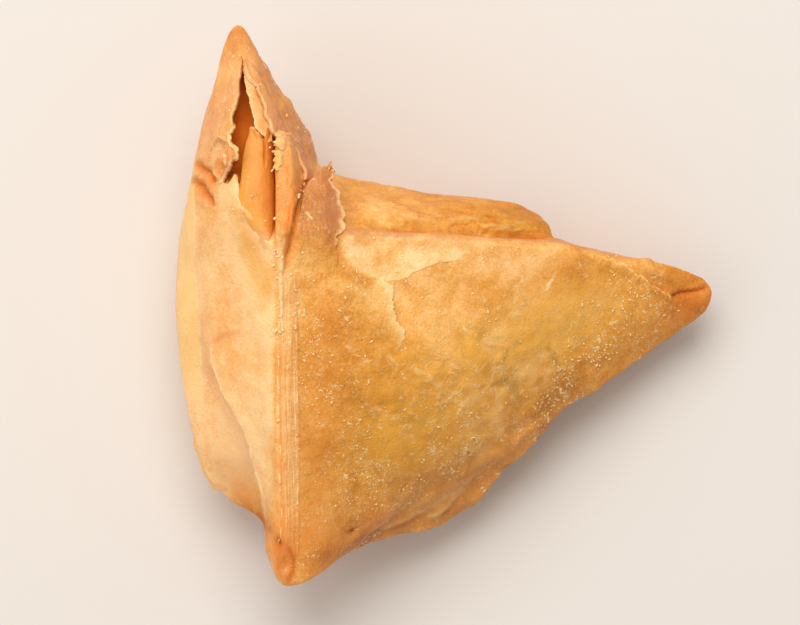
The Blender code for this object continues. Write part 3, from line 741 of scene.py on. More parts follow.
# its pale right border and lower end are pale skin with painted highlight along the torn edges
addSheet(
    "hornLeft", hornLeft, layHornLeft,
    tone=lambda p, u, v: (0.34 * at(p, -38, 24.6, 1.6, 2.6, 15)
                          - 0.12 * ease((u - 0.85) / 0.12) * ease((v - 0.5) / 0.1)),
    yolk=lambda p, u, v: 0.6 * at(p, -38, 25.2, 1.5, 2.4),
    deep=lambda p, u, v: 0.25 * at(p, -38.2, 24.8, 1.3, 2.2, 15),
    orange=lambda p, u, v: 0.8 * at(p, *hornLeft["hollowColour"]) + 0.3 * bell(u - 0.90, 0.06),
    fleck=lambda p, u, v: (0.35 * ease((u - 0.94) / 0.05) * ease((v - 0.25) / 0.2)
                           + 0.3 * ease((v - 0.95) / 0.04)))

hornRight = {
    "grid": (90, 260), "thick": 0.8, "seed": 60, "toothSize": 1.3, "lumps": 0.12,
    "torn": {"left": 0.10, "bottom": 0.5},
    "left": [(-34.3, 42.0), (-34.0, 40.7), (-33.3, 38.6), (-32.3, 37.2), (-31.3, 35.3), (-30.6, 32.9),
             (-30.1, 31.4), (-29.4, 29.8), (-28.7, 28.5), (-27.9, 27.6), (-26.4, 27.1), (-25.4, 25.4),
             (-24.4, 23.0), (-23.8, 21.4)],
    "right": [(-33.2, 42.0), (-31.9, 39.5), (-30.3, 37.0), (-28.4, 34.0), (-26.6, 31.5), (-25.2, 29.0),
              (-24.0, 26.5), (-23.0, 25.0), (-22.0, 24.0), (-21.6, 22.5)],
}


def layHornRight(x, y, u, v):
    # proud at the slit with a rounded border, sinking towards its outer side, and raised along the horn's
    # ridge
    offset = 0.28 - 0.45 * ease((u - 0.5) / 0.5) - 0.5 * ease((0.08 - v) / 0.08) + 0.15 * bell(u, 0.12)
    return onCrust(x, y, offset + 0.4 * bell(toMark(x, y, "horn")[0], 0.9))


# its pale left border at the slit is pale skin with painted highlight along the torn edge
addSheet(
    "hornRight", hornRight, layHornRight, tone=lambda p, u, v: 0.10 + 0.14 * (1 - u),
    rosy=lambda p, u, v: 0.3 * (1 - u) + 0.5 * bell(toMark(p[..., 0], p[..., 1], "horn")[0], 1.1),
    fleck=lambda p, u, v: 0.30 * ease((0.05 - u) / 0.04))

innerStrip = {
    "grid": (40, 150), "thick": 0.5, "seed": 70, "toothSize": 1.1, "lumps": 0.10,
    "torn": {"left": 0.12, "bottom": 0.5},
    "left": [(-34.3, 40.9), (-34.0, 38.2), (-33.4, 35.5), (-32.8, 33.7), (-32.3, 31.5), (-32.0, 29.8),
             (-31.2, 28.6)],
    "right": [(-34.0, 40.9), (-32.4, 37.7), (-30.8, 35.3), (-30.2, 32.6), (-29.6, 31.1), (-29.2, 29.6),
              (-29.2, 27.8)],
}


def layInnerStrip(x, y, u, v):
    # below the closed crust, by more at its left side and lower end
    return stack(x, y, closedHeight(x, y) - 0.3 - 0.5 * (1 - u) - 0.5 * v)


# its pale left border is pale skin with painted highlight along the torn edge
addSheet("innerStrip", innerStrip, layInnerStrip, tone=-0.04, orange=0.35,
         fleck=lambda p, u, v: 0.30 * ease((0.14 - u) / 0.1))

roll = {  # half round, between its left and right sides
    "grid": (80, 240), "thick": 0.6, "seed": 80, "toothSize": 1.0, "lumps": 0.12, "torn": {"top": 0.7},
    "topShape": ((0, 0.25, 0.55, 0.68, 0.8, 1.0), (-1.6, 0.3, -0.9, -1.6, 0.6, 0.2)),
    "left": [(-33.1, 30.6), (-33.4, 29.3), (-33.7, 26.9), (-34.1, 25.1), (-34.3, 22.5), (-34.5, 20.8),
             (-34.9, 19.3), (-34.6, 17.4), (-34.2, 15.8), (-33.3, 14.2), (-32.2, 12.0), (-30.8, 9.8),
             (-29.2, 7.5)],
    "right": [(-29.4, 30.6), (-29.2, 29.0), (-28.8, 26.4), (-28.7, 24.0), (-28.6, 21.3), (-28.5, 19.0),
              (-28.5, 17.0), (-28.5, 15.4), (-28.5, 13.6), (-28.5, 11.5), (-28.5, 10.1), (-28.5, 9.0),
              (-28.5, 7.5)],
    "height": ((0, 0.6, 0.78, 1), (3.4, 2.8, 1.3, 0.8)),      # of its arch, along its length
}


def arched(value, reach):  # fall from the top of a rounded arch, where the value runs from 0 to the reach
    return 1 - np.sqrt(np.clip(1 - (value / reach) ** 2.2, 0, 1))


def layRoll(x, y, u, v):
    # a crest under the rim's height less an arch; its left side falls into the slit, and rises to meet the
    # end's layer lower down; a split runs down from its top
    across, meets = 2 * u - 1, ease((v - 0.60) / 0.18)
    turn = np.clip(across + 0.15, 0, None) + (1 - meets) * np.clip(-across - 0.15, 0, None)
    split = 0.6 * bell(across - 0.30 - 0.35 * v, 0.07) * ease((0.34 - v) / 0.12)
    crest = rimHeight(y) - 1.0 - 1.1 * ease((0.10 - v) / 0.10) + 0.55 * ease((v - 0.62) / 0.2)
    met = closedHeight(x, y) - 0.10 - 0.5 * ease((v - 0.95) / 0.05)
    grain = 0.10 * (cloud(stack(x * 1.0, y * 0.12, 0), 0.5, 85, 2) - 0.5)
    height = crest + meets * (1 - u) * (met - crest)
    return stack(x, y, height - np.interp(v, *roll["height"]) * arched(turn, 1.17) - split + grain)


def rollPaintedShade(u, v):  # a little deep orange all over, and painted shade in deep brown towards the roll's right side
    return (0.10 + 0.30 * ease((u - 0.45) / 0.3) + 0.60 * ease((u - 0.68) / 0.28)) * ease((0.95 - v) / 0.1)


# the roll is darker towards its right side by painted shade, and its torn top edge is pale skin with painted
# highlight
addSheet(
    "roll", roll, layRoll, deep=lambda p, u, v: rollPaintedShade(u, v),
    tone=lambda p, u, v: (0.44 * ease((0.85 - v) / 0.2) + 0.16 * ease((u - 0.3) / 0.5)
                          - 0.20 * ease((0.05 - v) / 0.05)),
    orange=lambda p, u, v: 0.4 * ease((u - 0.2) / 0.6) + 0.2 * v,
    yolk=lambda p, u, v: 0.8 * ease((0.85 - v) / 0.2),
    fleck=lambda p, u, v: 0.4 * ease((0.035 - v) / 0.025))

strip = {  # rounded band between the roll and the flap, which runs out as a rough ridge along the rim
    "grid": (56, 380), "thick": 0.6, "seed": 90, "toothSize": 0.9, "lumps": 0.16, "torn": {"top": 0.5},
    "held": lambda x: 9 + 0 * x,
    "left": [(-28.5, 28.4), (-28.8, 23.9), (-28.6, 21.0), (-28.6, 15.4), (-28.5, 11.0), (-28.4, 8.0),
             (-28.3, 5.5), (-28.1, 2.0), (-27.9, -2.0), (-27.6, -7.0)],
    "right": [(-25.4, 28.4), (-24.0, 26.0), (-23.5, 23.7), (-23.6, 21.8), (-24.4, 18.8), (-25.3, 15.9),
              (-25.9, 12.9), (-26.2, 10.5), (-26.9, 7.7), (-27.1, 5.5), (-27.1, 2.0), (-27.2, -2.0),
              (-27.1, -7.0)],
}


def layStrip(x, y, u, v):
    # an arch at the height of the roll beside the slit, and laid on the crust at its right side and lower
    # down
    arch = arched(np.abs(2 * u - 1), 1.06)
    bumps = 0.22 * rough(stack(x, y * 0.6, 0), 0.8, 95, 2)
    beside = rimHeight(y) - 0.35 - 0.25 * np.clip(x + 28, 0, None) - 1.8 * arch
    laid = onCrust(x, y, 0.50)[..., 2] - (0.75 + 0.6 * ease((8 - y) / 4)) * arch
    laid = laid - 0.5 * ease((v - 0.80) / 0.2)
    share = np.maximum(ease((16.5 - y) / 4.5), ease((u - 0.55) / 0.35))
    return stack(x, y, beside + share * (laid - beside) + bumps)


def stripGroove(p, u):  # its right flank, in the groove beside the flap, where shade is painted
    return ease((u - 0.52) / 0.22) * ease((p[..., 1] - 6.5) / 3) * ease((22 - p[..., 1]) / 3)


def stripTone(p, u, v):  # painted shade in the groove, browner higher up, and paler below y 13 by painted light against the crest's shade
    lower = 0.05 * ease((p[..., 1] - 12) / 2) - 0.20 * ease((13.2 - p[..., 1]) / 1.4)
    return 0.08 * stripGroove(p, u) + lower


addSheet(
    "strip", strip, layStrip, tone=stripTone, rosy=lambda p, u, v: 0.38 * ease((p[..., 1] - 3) / 4),
    orange=lambda p, u, v: 0.15 * ease((p[..., 1] - 2) / 4), deep=lambda p, u, v: 0.42 * stripGroove(p, u),
    yolk=lambda p, u, v: 0.5 * stripGroove(p, u),
    fleck=lambda p, u, v: 0.35 * ease((10 - p[..., 1]) / 5) * ease((cloud(p, 0.7, 98, 2) - 0.35) / 0.3))

stripFlakes = [
    {"left": [(-28.6, 29.9), (-29.0, 26.8)], "right": [(-25.4, 29.0), (-26.2, 26.0)], "lift": 0.50},
    {"left": [(-29.3, 26.6), (-29.2, 23.2)], "right": [(-26.4, 26.3), (-27.0, 22.6)], "lift": 0.40},
]


def layStripFlake(lift):
    # lifted off the strip, and bent down at its sides and ends by powers of the distance from its middle
    def lay(x, y, u, v):
        level = rimHeight(y) - 0.45 + lift - 0.3 * np.clip(x + 28, 0, None)
        return stack(x, y, level - 0.8 * (2 * u - 1) ** 2 - 0.4 * (2 * v - 1) ** 4)
    return lay


for number, flake in enumerate(stripFlakes):
    spec = {"grid": (50, 50), "thick": 0.35, "seed": 196 + number, "toothSize": 1.2, "lumps": 0.35,
            "torn": dict.fromkeys(("left", "right", "top", "bottom"), 0.55), **flake}
    lay = layStripFlake(flake["lift"])
    addSheet(f"stripFlake{number + 1}", spec, lay, tone=-0.10, orange=0.25, fleck=0.15)

shard = {  # the end's outer layer, torn along its top, its right side folding down over the roll
    "grid": (110, 260), "thick": 0.7, "seed": 100, "toothSize": 1.1, "lumps": 0.08,
    "torn": {"top": 0.30, "right": ((0, 0.16, 0.2, 0.3, 0.4), (0, 0, 0.16, 0.16, 0)),
             "left": ((0, 0.16, 0.25), (0, 0, 0.15))},
    "topShape": ((0, 0.08, 0.16, 0.3, 0.5, 0.68, 0.8, 0.87, 0.94, 1.0),
                 (-0.8, 0.2, 0.7, 0.2, -0.4, -0.1, 0.6, 1.2, 0.5, -0.3)),
    "left": [(-39.1, 20.6), (-39.1, 19.2), (-39.0, 18.0), (-38.8, 17.0), (-39.2, 16.2), (-38.7, 15.2),
             (-38.8, 13.0), (-37.5, 8.0), (-34.0, 3.0)],
    "right": [(-35.0, 20.6), (-35.0, 19.4), (-35.0, 18.3), (-34.3, 16.8), (-33.0, 15.4), (-32.2, 14.0),
              (-31.3, 12.6), (-30.4, 10.9), (-29.6, 9.6), (-28.8, 8.0), (-28.6, 3.0)],
}


def layShard(x, y, u, v):
    # proud of the crust near its top and right side, sunk elsewhere, with its torn right side bent down; it
    # is laid only upward, as the slope is steep here
    nearTop = ease((0.42 - v) / 0.2) * ease((0.5 - u) / 0.4)
    nearSide = ease((u - 0.35) / 0.4) * ease((0.48 - v) / 0.2)
    proud = 0.42 * np.maximum(nearTop + nearSide, ease((0.35 - v) / 0.2))
    bent = 0.25 * ease((u - 0.9) / 0.1) * ease((0.45 - v) / 0.1)
    ground = closedHeight(x, y)
    return stack(x, y, ground + 1.5 * (onCrust(x, y, proud - 0.18 - bent)[..., 2] - ground))


# its paler top is pale skin with painted highlight along the torn edge
addSheet(
    "shard", shard, layShard, tone=lambda p, u, v: -0.16 * ease((0.3 - v) / 0.2) * ease((u - 0.1) / 0.2),
    fleck=lambda p, u, v: 0.30 * ease((0.25 - v) / 0.2) * ease((u - 0.1) / 0.2),
    rosy=lambda p, u, v: 0.25 * bell(u - 0.8, 0.12) * ease((v - 0.25) / 0.2) * ease((0.8 - v) / 0.3))

# torn flap beside the crown; it carries the front face on past the seam and droops beyond it
flap = {
    "grid": (120, 260), "thick": 0.8, "seed": 110, "toothSize": 1.0, "lumps": 0.10,
    "torn": {"right": ((0, 0.5, 0.7), (0.34, 0.30, 0.08)), "top": 0.20},
    "droop": 0.95, "turns": 2.5,                             # how fast it droops, and where its base is held
    "topShape": ((0, 0.15, 0.3, 0.45, 0.6, 0.75, 0.88, 1), (-0.4, -0.1, 0.3, 0.0, 0.1, 0.5, 0.6, 0.1)),
    "left": [(-20.9, 23.4), (-21.9, 22.3), (-23.0, 20.9), (-23.7, 19.2), (-24.1, 17.0), (-24.6, 14.7),
             (-25.5, 11.2), (-26.3, 8.4), (-26.4, 3.0)],
    "right": [(-19.3, 23.8), (-19.2, 22.9), (-19.1, 21.1), (-17.7, 18.5), (-17.4, 16.2), (-17.0, 14.2),
              (-17.1, 12.8), (-18.2, 11.6), (-18.3, 9.5), (-18.0, 7.5), (-18.6, 5.5), (-20.0, 3.0)],
}
flap["held"] = lambda x: seamLine(x) - flap["turns"]


def layFlap(x, y, u, v):
    # on the crust up to the seam, then along the front face's slope, less a rounded fall that grows with
    # the square of the distance, with fine grain drawn out along it
    held, beyond = np.minimum(y, flap["held"](x)), y - seamLine(x)
    base = onCrust(x, held, 0.58 - 0.30 * ease((0.25 - u) / 0.25) - 0.78 * ease((v - 0.62) / 0.30))
    fall = flap["droop"] * higher(beyond, 0, 0.6) + 0.012 * np.clip(beyond, 0, None) ** 2
    fall += 0.5 * (1 - u) * ease((0.5 - v) / 0.4)
    grain = 0.09 * (cloud(stack(x * 1.0 + y * 0.2, y * 0.15, 0), 0.45, 115, 2) - 0.5)
    height = base[..., 2] + frontFace(x, y) - frontFace(x, held)
    return stack(x, y, height - fall + grain * ease((0.9 - v) / 0.3))


def flapTone(p, u, v):  # browner than the front, with a pale right side and fine streaks
    streaks = cloud(stack(p[..., 0], p[..., 1] * 0.25, 0), 0.35, 117, 2) - 0.5
    pale = 0.28 * ease((u - 0.88) / 0.10) * ease((0.7 - v) / 0.1)
    return 0.31 * ease((0.80 - v) / 0.4) - pale + 0.35 * streaks * ease((0.75 - v) / 0.3)


def flapFleck(p, u, v):  # spots of a cloud along its right side
    return 0.40 * ease((u - 0.84) / 0.12) * ease((0.7 - v) / 0.2) * ease((cloud(p, 0.9, 119, 2) - 0.3) / 0.3)


addSheet("flap", flap, layFlap, tone=flapTone, fleck=flapFleck,
         rosy=lambda p, u, v: 0.65 * ease((0.80 - v) / 0.4))

# end of the outer layer on the front face, and the rim of the pale patch beside it
outerSkin = {
    "grid": (90, 300), "thick": 0.25, "seed": 140, "toothSize": 1.25, "lumps": 0.03, "torn": {"right": 0.36},
    "proud": 0.50, "sunk": 0.16,
    "left": [(-19.0, 7.0), (-21.0, 2.0), (-21.0, -6.0), (-17.0, -13.0)],
    "right": marks["layerEdge"][3:] + [(-7.6, -7.6), (-8.6, -9.6), (-10.5, -12.5)],
}
paleSkin = {  # lines run from right to left, from the seam side to the lower border
    "grid": (70, 240), "thick": 0.2, "seed": 150, "toothSize": 1.2, "lumps": 0.03, "torn": {"right": 0.12},
    "proud": 0.24, "sunk": 0.12,
    "left": [(7.0, 10.2), (2.0, 9.6), (-4.0, 8.6), (-8.0, 6.6), (-13.0, 7.6), (-17.0, 10.6)],
    "right": marks["patchEdge"],
}
tipLayer = {  # the front face's layer closing over the back one at the tip; lines run from right to left
    "grid": (60, 260), "thick": 0.6, "seed": 160, "toothSize": 0.8, "lumps": 0.04, "torn": {"left": 0.26},
    "proud": 0.60, "sunk": 0.14,
    "left": [(39.3, 1.3), (38.3, 1.9), (36.4, 2.9), (34.3, 4.3), (31.8, 6.0), (28.9, 7.6), (26.0, 8.7),
             (21.5, 9.4)],
    "right": [(39.4, 0.2), (38.0, 0.0), (36.0, 0.8), (33.6, 2.2), (30.8, 3.8), (27.8, 5.2), (25.0, 6.2),
              (21.0, 7.0)],
}
bellyFold = {  # edge of the front face over the belly beside the foot; lines run down from the belly
    "grid": (50, 200), "thick": 0.5, "seed": 190, "toothSize": 1.2, "lumps": 0.03, "torn": {"right": 0.10},
    "proud": 0.50, "sunk": 0.14,
    "left": [(-7.5, -30.0), (-12.0, -33.5), (-16.0, -37.5), (-19.5, -41.5)],
    "right": [(-5.4, -32.2), (-9.9, -36.3), (-13.2, -39.2), (-16.3, -42.0)],
}


def layOn(spec, shown):
    # on the crust, raised where it shows, a function of u and v, and sunk under it at its other borders
    return lambda x, y, u, v: onCrust(x, y, spec["proud"] * shown(u, v) - spec["sunk"])


# its lighter right border is pale skin with painted highlight along the layer's edge
addSheet(
    "outerSkin", outerSkin,
    layOn(outerSkin, lambda u, v: ease((u - 0.25) / 0.75) * ease((v - 0.10) / 0.15) * ease((0.82 - v) / 0.3)),
    tone=lambda p, u, v: -0.16 * ease((u - 0.80) / 0.15) * ease((v - 0.12) / 0.1) * ease((0.75 - v) / 0.1),
    fleck=lambda p, u, v: 0.30 * ease((u - 0.92) / 0.06) * ease((v - 0.12) / 0.1) * ease((0.75 - v) / 0.1))
addSheet("paleSkin", paleSkin,
         layOn(paleSkin, lambda u, v: ease(u / 0.9) * ease(v / 0.35) * ease((0.85 - v) / 0.35)))
# its lighter lip is pale skin with painted highlight along the layer's edge
addSheet(
    "tipLayer", tipLayer,
    layOn(tipLayer, lambda u, v: ease((0.95 - u) / 0.9) * ease((1 - v) / 0.4) * ease((v + 0.05) / 0.15)),
    tone=lambda p, u, v: -0.14 * ease((0.20 - u) / 0.12) * ease((0.9 - v) / 0.3),
    fleck=lambda p, u, v: (0.4 * ease((0.14 - u) / 0.08) * ease((0.8 - v) / 0.3)
                           * ease((cloud(p, 0.8, 165, 2) - 0.35) / 0.2)))

# the wide end's layers: one folded over the lobe, one along its outer side
endLayers = {
    "overLobe": {
        "grid": (50, 320), "thick": 0.5, "seed": 170, "toothSize": 1.3, "lumps": 0.03, "torn": {"left": 0.12},
        "left": marks["lobeEdge"], "right": [(x + 3.6, y) for x, y in marks["lobeEdge"]], "proud": 0.44},
    "overEnd": {
        "grid": (50, 260), "thick": 0.3, "seed": 180, "toothSize": 1.6, "lumps": 0.02, "torn": {"left": 0.08},
        "left": marks["endLine"], "right": [(x + 2.6, y) for x, y in marks["endLine"]], "proud": 0.24},
}


def layEndLayer(spec):
    # on the crust, raised at its left side; the lobe's is held at the top of the crease, then carried on
    # outward along the slope of the wide end
    def lay(x, y, u, v):
        shown = ease((0.9 - u) / 0.8) * ease(v / 0.15) * ease((1 - v) / 0.12)
        crease = softLine(y, crust["creaseY"], crust["creaseX"]) + 0.6 * ease((y + 36) / 5)
        inner = np.maximum(x, crease) if spec["proud"] > 0.3 else x
        points = onCrust(inner, y, spec["proud"] * shown - 0.13)
        return points + stack(x - inner, 0 * y, crust["endSlope"] * (x - inner))
    return lay


def endLayerFleckAndHighlight(p, u, v):  # broken pale line along the left side: pale skin with painted highlight along the layer's edge
    return 0.50 * ease((0.09 - u) / 0.05) * ease((cloud(p, 1.5, 185, 2) - 0.38) / 0.2) * ease(v / 0.1)


for name, spec in endLayers.items():
    addSheet(name, spec, layEndLayer(spec), fleck=endLayerFleckAndHighlight,
             tone=lambda p, u, v: -0.08 * ease((0.25 - u) / 0.2))

lobeRim = {  # flange of a lower layer along the lobe's outer side; its left line stands out from the crust
    "grid": (30, 200), "thick": 0.6, "seed": 187, "toothSize": 1.2, "lumps": 0.05, "torn": {"left": 0.10},
    "leaves": 0.93, "fall": 1.3,                             # where it leaves the crust, and its slope there
    "left": [(-44.0, -12.5), (-43.6, -17.0), (-43.2, -20.3), (-42.7, -23.8), (-41.8, -26.9), (-40.6, -29.4),
             (-39.3, -31.3), (-38.2, -31.7), (-37.2, -31.4)],
    "right": [(-41.6, -12.5), (-41.4, -17.0), (-41.0, -20.0), (-40.3, -23.2), (-39.4, -25.8), (-38.3, -27.8),
              (-37.2, -29.3), (-36.6, -29.8), (-36.0, -30.2)],
}


def layLobeRim(x, y, u, v):
    # on the crust at its inner side, then carried on outward along the slope of the widest line
    cx, cy = crust["crown"][:2]
    far = outward(x, y)[1]
    held = np.minimum(1, lobeRim["leaves"] / np.maximum(np.hypot(x - cx, y - cy) / far, 1e-6))
    shown = ease(v / 0.3) * ease((1 - v) / 0.1) * ease((0.8 - u) / 0.6)
    offset = 0.32 * shown - 0.12 - 0.4 * ease((u - 0.45) / 0.3)
    points = onCrust(cx + (x - cx) * held, cy + (y - cy) * held, offset)
    return stack(x, y, points[..., 2] - lobeRim["fall"] * (1 - held) * far)


addSheet("lobeRim", lobeRim, layLobeRim,
         tone=lambda p, u, v: 0.10 * ease((v - 0.5) / 0.3) * ease((0.6 - u) / 0.4),
         orange=lambda p, u, v: 0.3 * ease((0.6 - u) / 0.4))
# its pale right border is pale skin with painted highlight along the fold's edge
addSheet("bellyFold", bellyFold,
         layOn(bellyFold, lambda u, v: ease(u / 0.9) * ease(v / 0.45) * ease((1 - v) / 0.1)),
         fleck=lambda p, u, v: 0.25 * ease((u - 0.92) / 0.05) * ease((v - 0.2) / 0.3))

lipSkin = {  # rough layers of the swollen lip beyond the seam; lines run from right to left
    "grid": (90, 300), "thick": 0.4, "seed": 220, "lumps": 0.0,
    "left": [(19.2, 11.0), (15.5, 13.4), (12.0, 15.1), (8.0, 16.2), (3.5, 16.6), (-1.0, 16.4), (-4.0, 15.8)],
    "right": [(18.4, 10.9), (14.0, 11.7), (10.0, 12.0), (6.0, 12.2), (2.0, 12.6), (-1.5, 13.4), (-4.2, 14.6)],
}


def lipField(x, y):  # a cloud drawn out along the seam, in which the layers lie
    return cloud(stack(x * 0.35, y * 1.3, 0), 0.8, 221, 3)


def layLipSkin(x, y, u, v):
    # on the crust, raised by its cloud, sunk at all its borders
    shown = ease(u / 0.35) * ease((1 - u) / 0.15) * ease(v / 0.12) * ease((1 - v) / 0.25)
    return onCrust(x, y, shown * (0.20 + 1.0 * (lipField(x, y) - 0.5)) - 0.14)


def lipPart(p, u, v, low, high):  # share of the skin where its cloud lies between two levels
    shown = ease(u / 0.5) * ease((1 - v) / 0.35) * ease(v / 0.2)
    return shown * ease((lipField(p[..., 0], p[..., 1]) - low) / (high - low))


# the skin's hollows, where its cloud runs low, are made deep brown: painted shade on top of their darker
# honey colour
addSheet("lipSkin", lipSkin, layLipSkin, tone=lambda p, u, v: 0.12 * lipPart(p, u, v, 0, 1),
         yolk=lambda p, u, v: 0.3 * lipPart(p, u, v, 0.2, 0.6),
         deep=lambda p, u, v: 0.60 * lipPart(p, u, v, 0.58, 0.35),
         fleck=lambda p, u, v: 0.18 * lipPart(p, u, v, 0.64, 0.74))

# pinched rim: middle and half its width at each y, and its fine lines and the ridges at its sides, across it
rim = {
    "columns": 110, "rows": 400, "thick": 0.6, "proud": 0.26, "sunk": 0.18, "reach": 1.4,
    "y": (10.5, 7, 3, -5, -23, -33, -41, -47.0),
    "middle": (-26.9, -26.7, -26.6, -26.7, -26.6, -26.5, -26.4, -26.2),
    "half": (0.7, 1.1, 1.6, 1.9, 1.9, 1.8, 1.6, 1.1),
    "lines": (-0.62, -0.50, -0.30, -0.12, 0.10, 0.26, 0.48, 0.66), "edges": (-0.70, 0.80), "lineWidth": 0.05,
    "lineHeight": 0.07, "edgeHeight": 0.16, "stripeHeight": 0.10,
    "lasts": ((-45, 6), (-46.5, 4)),                           # where each of the two ridges runs out
}


def wandering(y, shift, size, seed, reach, octaves=3):  # slow sideways drift along the rim
    return (cloud(stack(0 * y + shift, y, 0), size, seed, octaves) - 0.5) * reach


def makeRim():
    # a band carried along the rim; across it run fine uneven lines, between two broken ridges: each is a bell
    # across the band that drifts, and comes and goes with a cloud along it
    reach = np.linspace(-rim["reach"], rim["reach"], rim["columns"])
    s, y = np.meshgrid(reach, np.linspace(rim["y"][0], rim["y"][-1], rim["rows"]), indexing="ij")
    down = [-k for k in rim["y"]]
    x = np.interp(-y, down, rim["middle"]) + s * np.interp(-y, down, rim["half"])
    offset = rim["proud"] * ease((1.25 - np.abs(s)) / 0.3) - rim["sunk"]
    pale, edge = 0 * s, 0 * s
    for k, middle in enumerate(rim["lines"]):
        strength = ease((cloud(stack(0 * y + 3 * k, y, 0), 3, 121, 2) - 0.36) / 0.3) * ease((5 - y) / 7)
        line = strength * bell(s - middle - wandering(y, 5 * k, 5, 120, 0.6), rim["lineWidth"])
        offset, pale = offset + rim["lineHeight"] * line, pale + 0.35 * line
    for k, (middle, (stop, fade)) in enumerate(zip(rim["edges"], rim["lasts"])):
        strength = ease((cloud(stack(0 * y + 7 * k, y, 0), 1.6, 129, 2) - 0.38) / 0.35)
        strength = strength * ease((y - stop) / fade) * ease((9 - y) / 6)
        edge += strength * bell(s - middle - wandering(y, 9 * k, 4, 125, 0.45), rim["lineWidth"])
    ending = ease((y + 45) / 6)
    pale = pale * ending
    stripes = (cloud(stack(s * 7, y * 0.07, 0), 1.0, 131, 2) - 0.5) * ending * ease((8 - y) / 5)
    offset += rim["edgeHeight"] * edge + rim["stripeHeight"] * stripes
    offset -= 0.4 * ease((y - 4) / 5) + 0.50 * ease((-42.0 - y) / 4.0)
    offset -= 0.45 * ease((-39.5 - y) / 2.5) * ease((0.45 - s) / 0.4)       # makes room for the dent
    masks = browningAndShading(stack(x, y, closedHeight(x, y)))
    peach = ease((0.1 - s) / 0.6) * ease((2 - y) / 6)
    own = {
        "tone": 0.31 + 0.26 * stripes - 0.20 * pale - 0.25 * edge + 0.18 * ease((-34 - y) / 8),
        "rosy": 0.20 + 0.9 * stripes - edge,
        "orange": 0.15 + 0.6 * ease((-30 - y) / 12) + 0.45 * peach + 0.4 * stripes - edge,
        "fleck": 0.40 * edge + 0.20 * pale}
    inside = ease((1.10 - np.abs(s)) / 0.35) * ease((y + 44) / 6) * ease((9 - y) / 5)
    for key, value in own.items():
        masks[key] = masks[key] + (np.clip(value, 0, 1) - masks[key]) * inside
    addLayer("rim", onCrust(x, y, offset), rim["columns"], rim["rows"], masks, rim["thick"])


makeRim()
print("layers", len(pieces))


# blisters, crumbs and curled flecks of skin, each kind one piece

def scatter(spec, density, box):
    # places that a density from 0 to 1 lets through
    rng, count = np.random.default_rng(spec["seed"]), spec["tries"]
    x, y = rng.uniform(box[0], box[2], count), rng.uniform(box[1], box[3], count)
    keep = (rng.random(count) < density(x, y)) & (outward(x, y)[0] < 0.95)
    return x[keep], y[keep], rng


def lumps(x, y, z, radius, flat, rng, rings, sides):
    # closed rounded bodies: the points of a ball, on rings between two poles, each moved in or out by up to
    # 0.4 of the radius, stretched one way, flattened and turned; returns the points and faces of all of
    # them
    count = len(x)
    tilt = np.linspace(0, math.pi, rings + 2)[1:-1]
    turn = 2 * math.pi * np.arange(sides) / sides
    ring = [np.outer(np.sin(tilt), np.cos(turn)), np.outer(np.sin(tilt), np.sin(turn)),
            np.outer(np.cos(tilt), 1 + 0 * turn)]
    unit = np.concatenate([np.stack(ring, -1).reshape(-1, 3), [(0, 0, 1), (0, 0, -1)]])
    body = unit[None] * (1 + 0.8 * (rng.random((count, len(unit), 1)) - 0.5))
    stretch = 1 + 1.3 * rng.random(count) ** 2
    heading = rng.uniform(0, math.pi, count)
    c, s = np.cos(heading)[:, None], np.sin(heading)[:, None]
    bx, by = body[..., 0] * stretch[:, None], body[..., 1]
    body = np.stack([bx * c - by * s, bx * s + by * c, body[..., 2] * flat], -1) * radius[:, None, None]
    body = body + np.stack([x, y, z], -1)[:, None]
    k, j = np.arange(sides), np.arange(rings - 1)[:, None]
    a, b = j * sides + k, j * sides + (k + 1) % sides
    quads = np.stack([a, a + sides, b + sides, b], -1).reshape(-1, 4)
    top = np.stack([np.full(sides, rings * sides), k, (k + 1) % sides], -1)
    last = (rings - 1) * sides
    bottom = np.stack([np.full(sides, rings * sides + 1), last + (k + 1) % sides, last + k], -1)
    starts = (np.arange(count) * len(unit))[:, None, None]
    faces = (quads[None] + starts).reshape(-1, 4).tolist()
    for cap in (top, bottom):
        faces += (cap[None] + starts).reshape(-1, 3).tolist()
    return body.reshape(-1, 3), faces


def addPaler(name, points, faces, amount):
    # a piece with the masks of the crust below, with less browning
    masks = browningAndShading(points)
    masks["tone"], masks["deep"] = np.clip(masks["tone"] - amount, 0, 1), 0 * masks["deep"]
    masks["fleck"] = np.clip(masks["fleck"] + 1.3 * amount, 0, 1)
    pieces.append(addMesh(name, points, faces, masks))
    print(name, len(points), "points")


bursts = {"thick": 0.09, "seed": 360, "steps": 20, "sides": 6, "pale": 0.35}


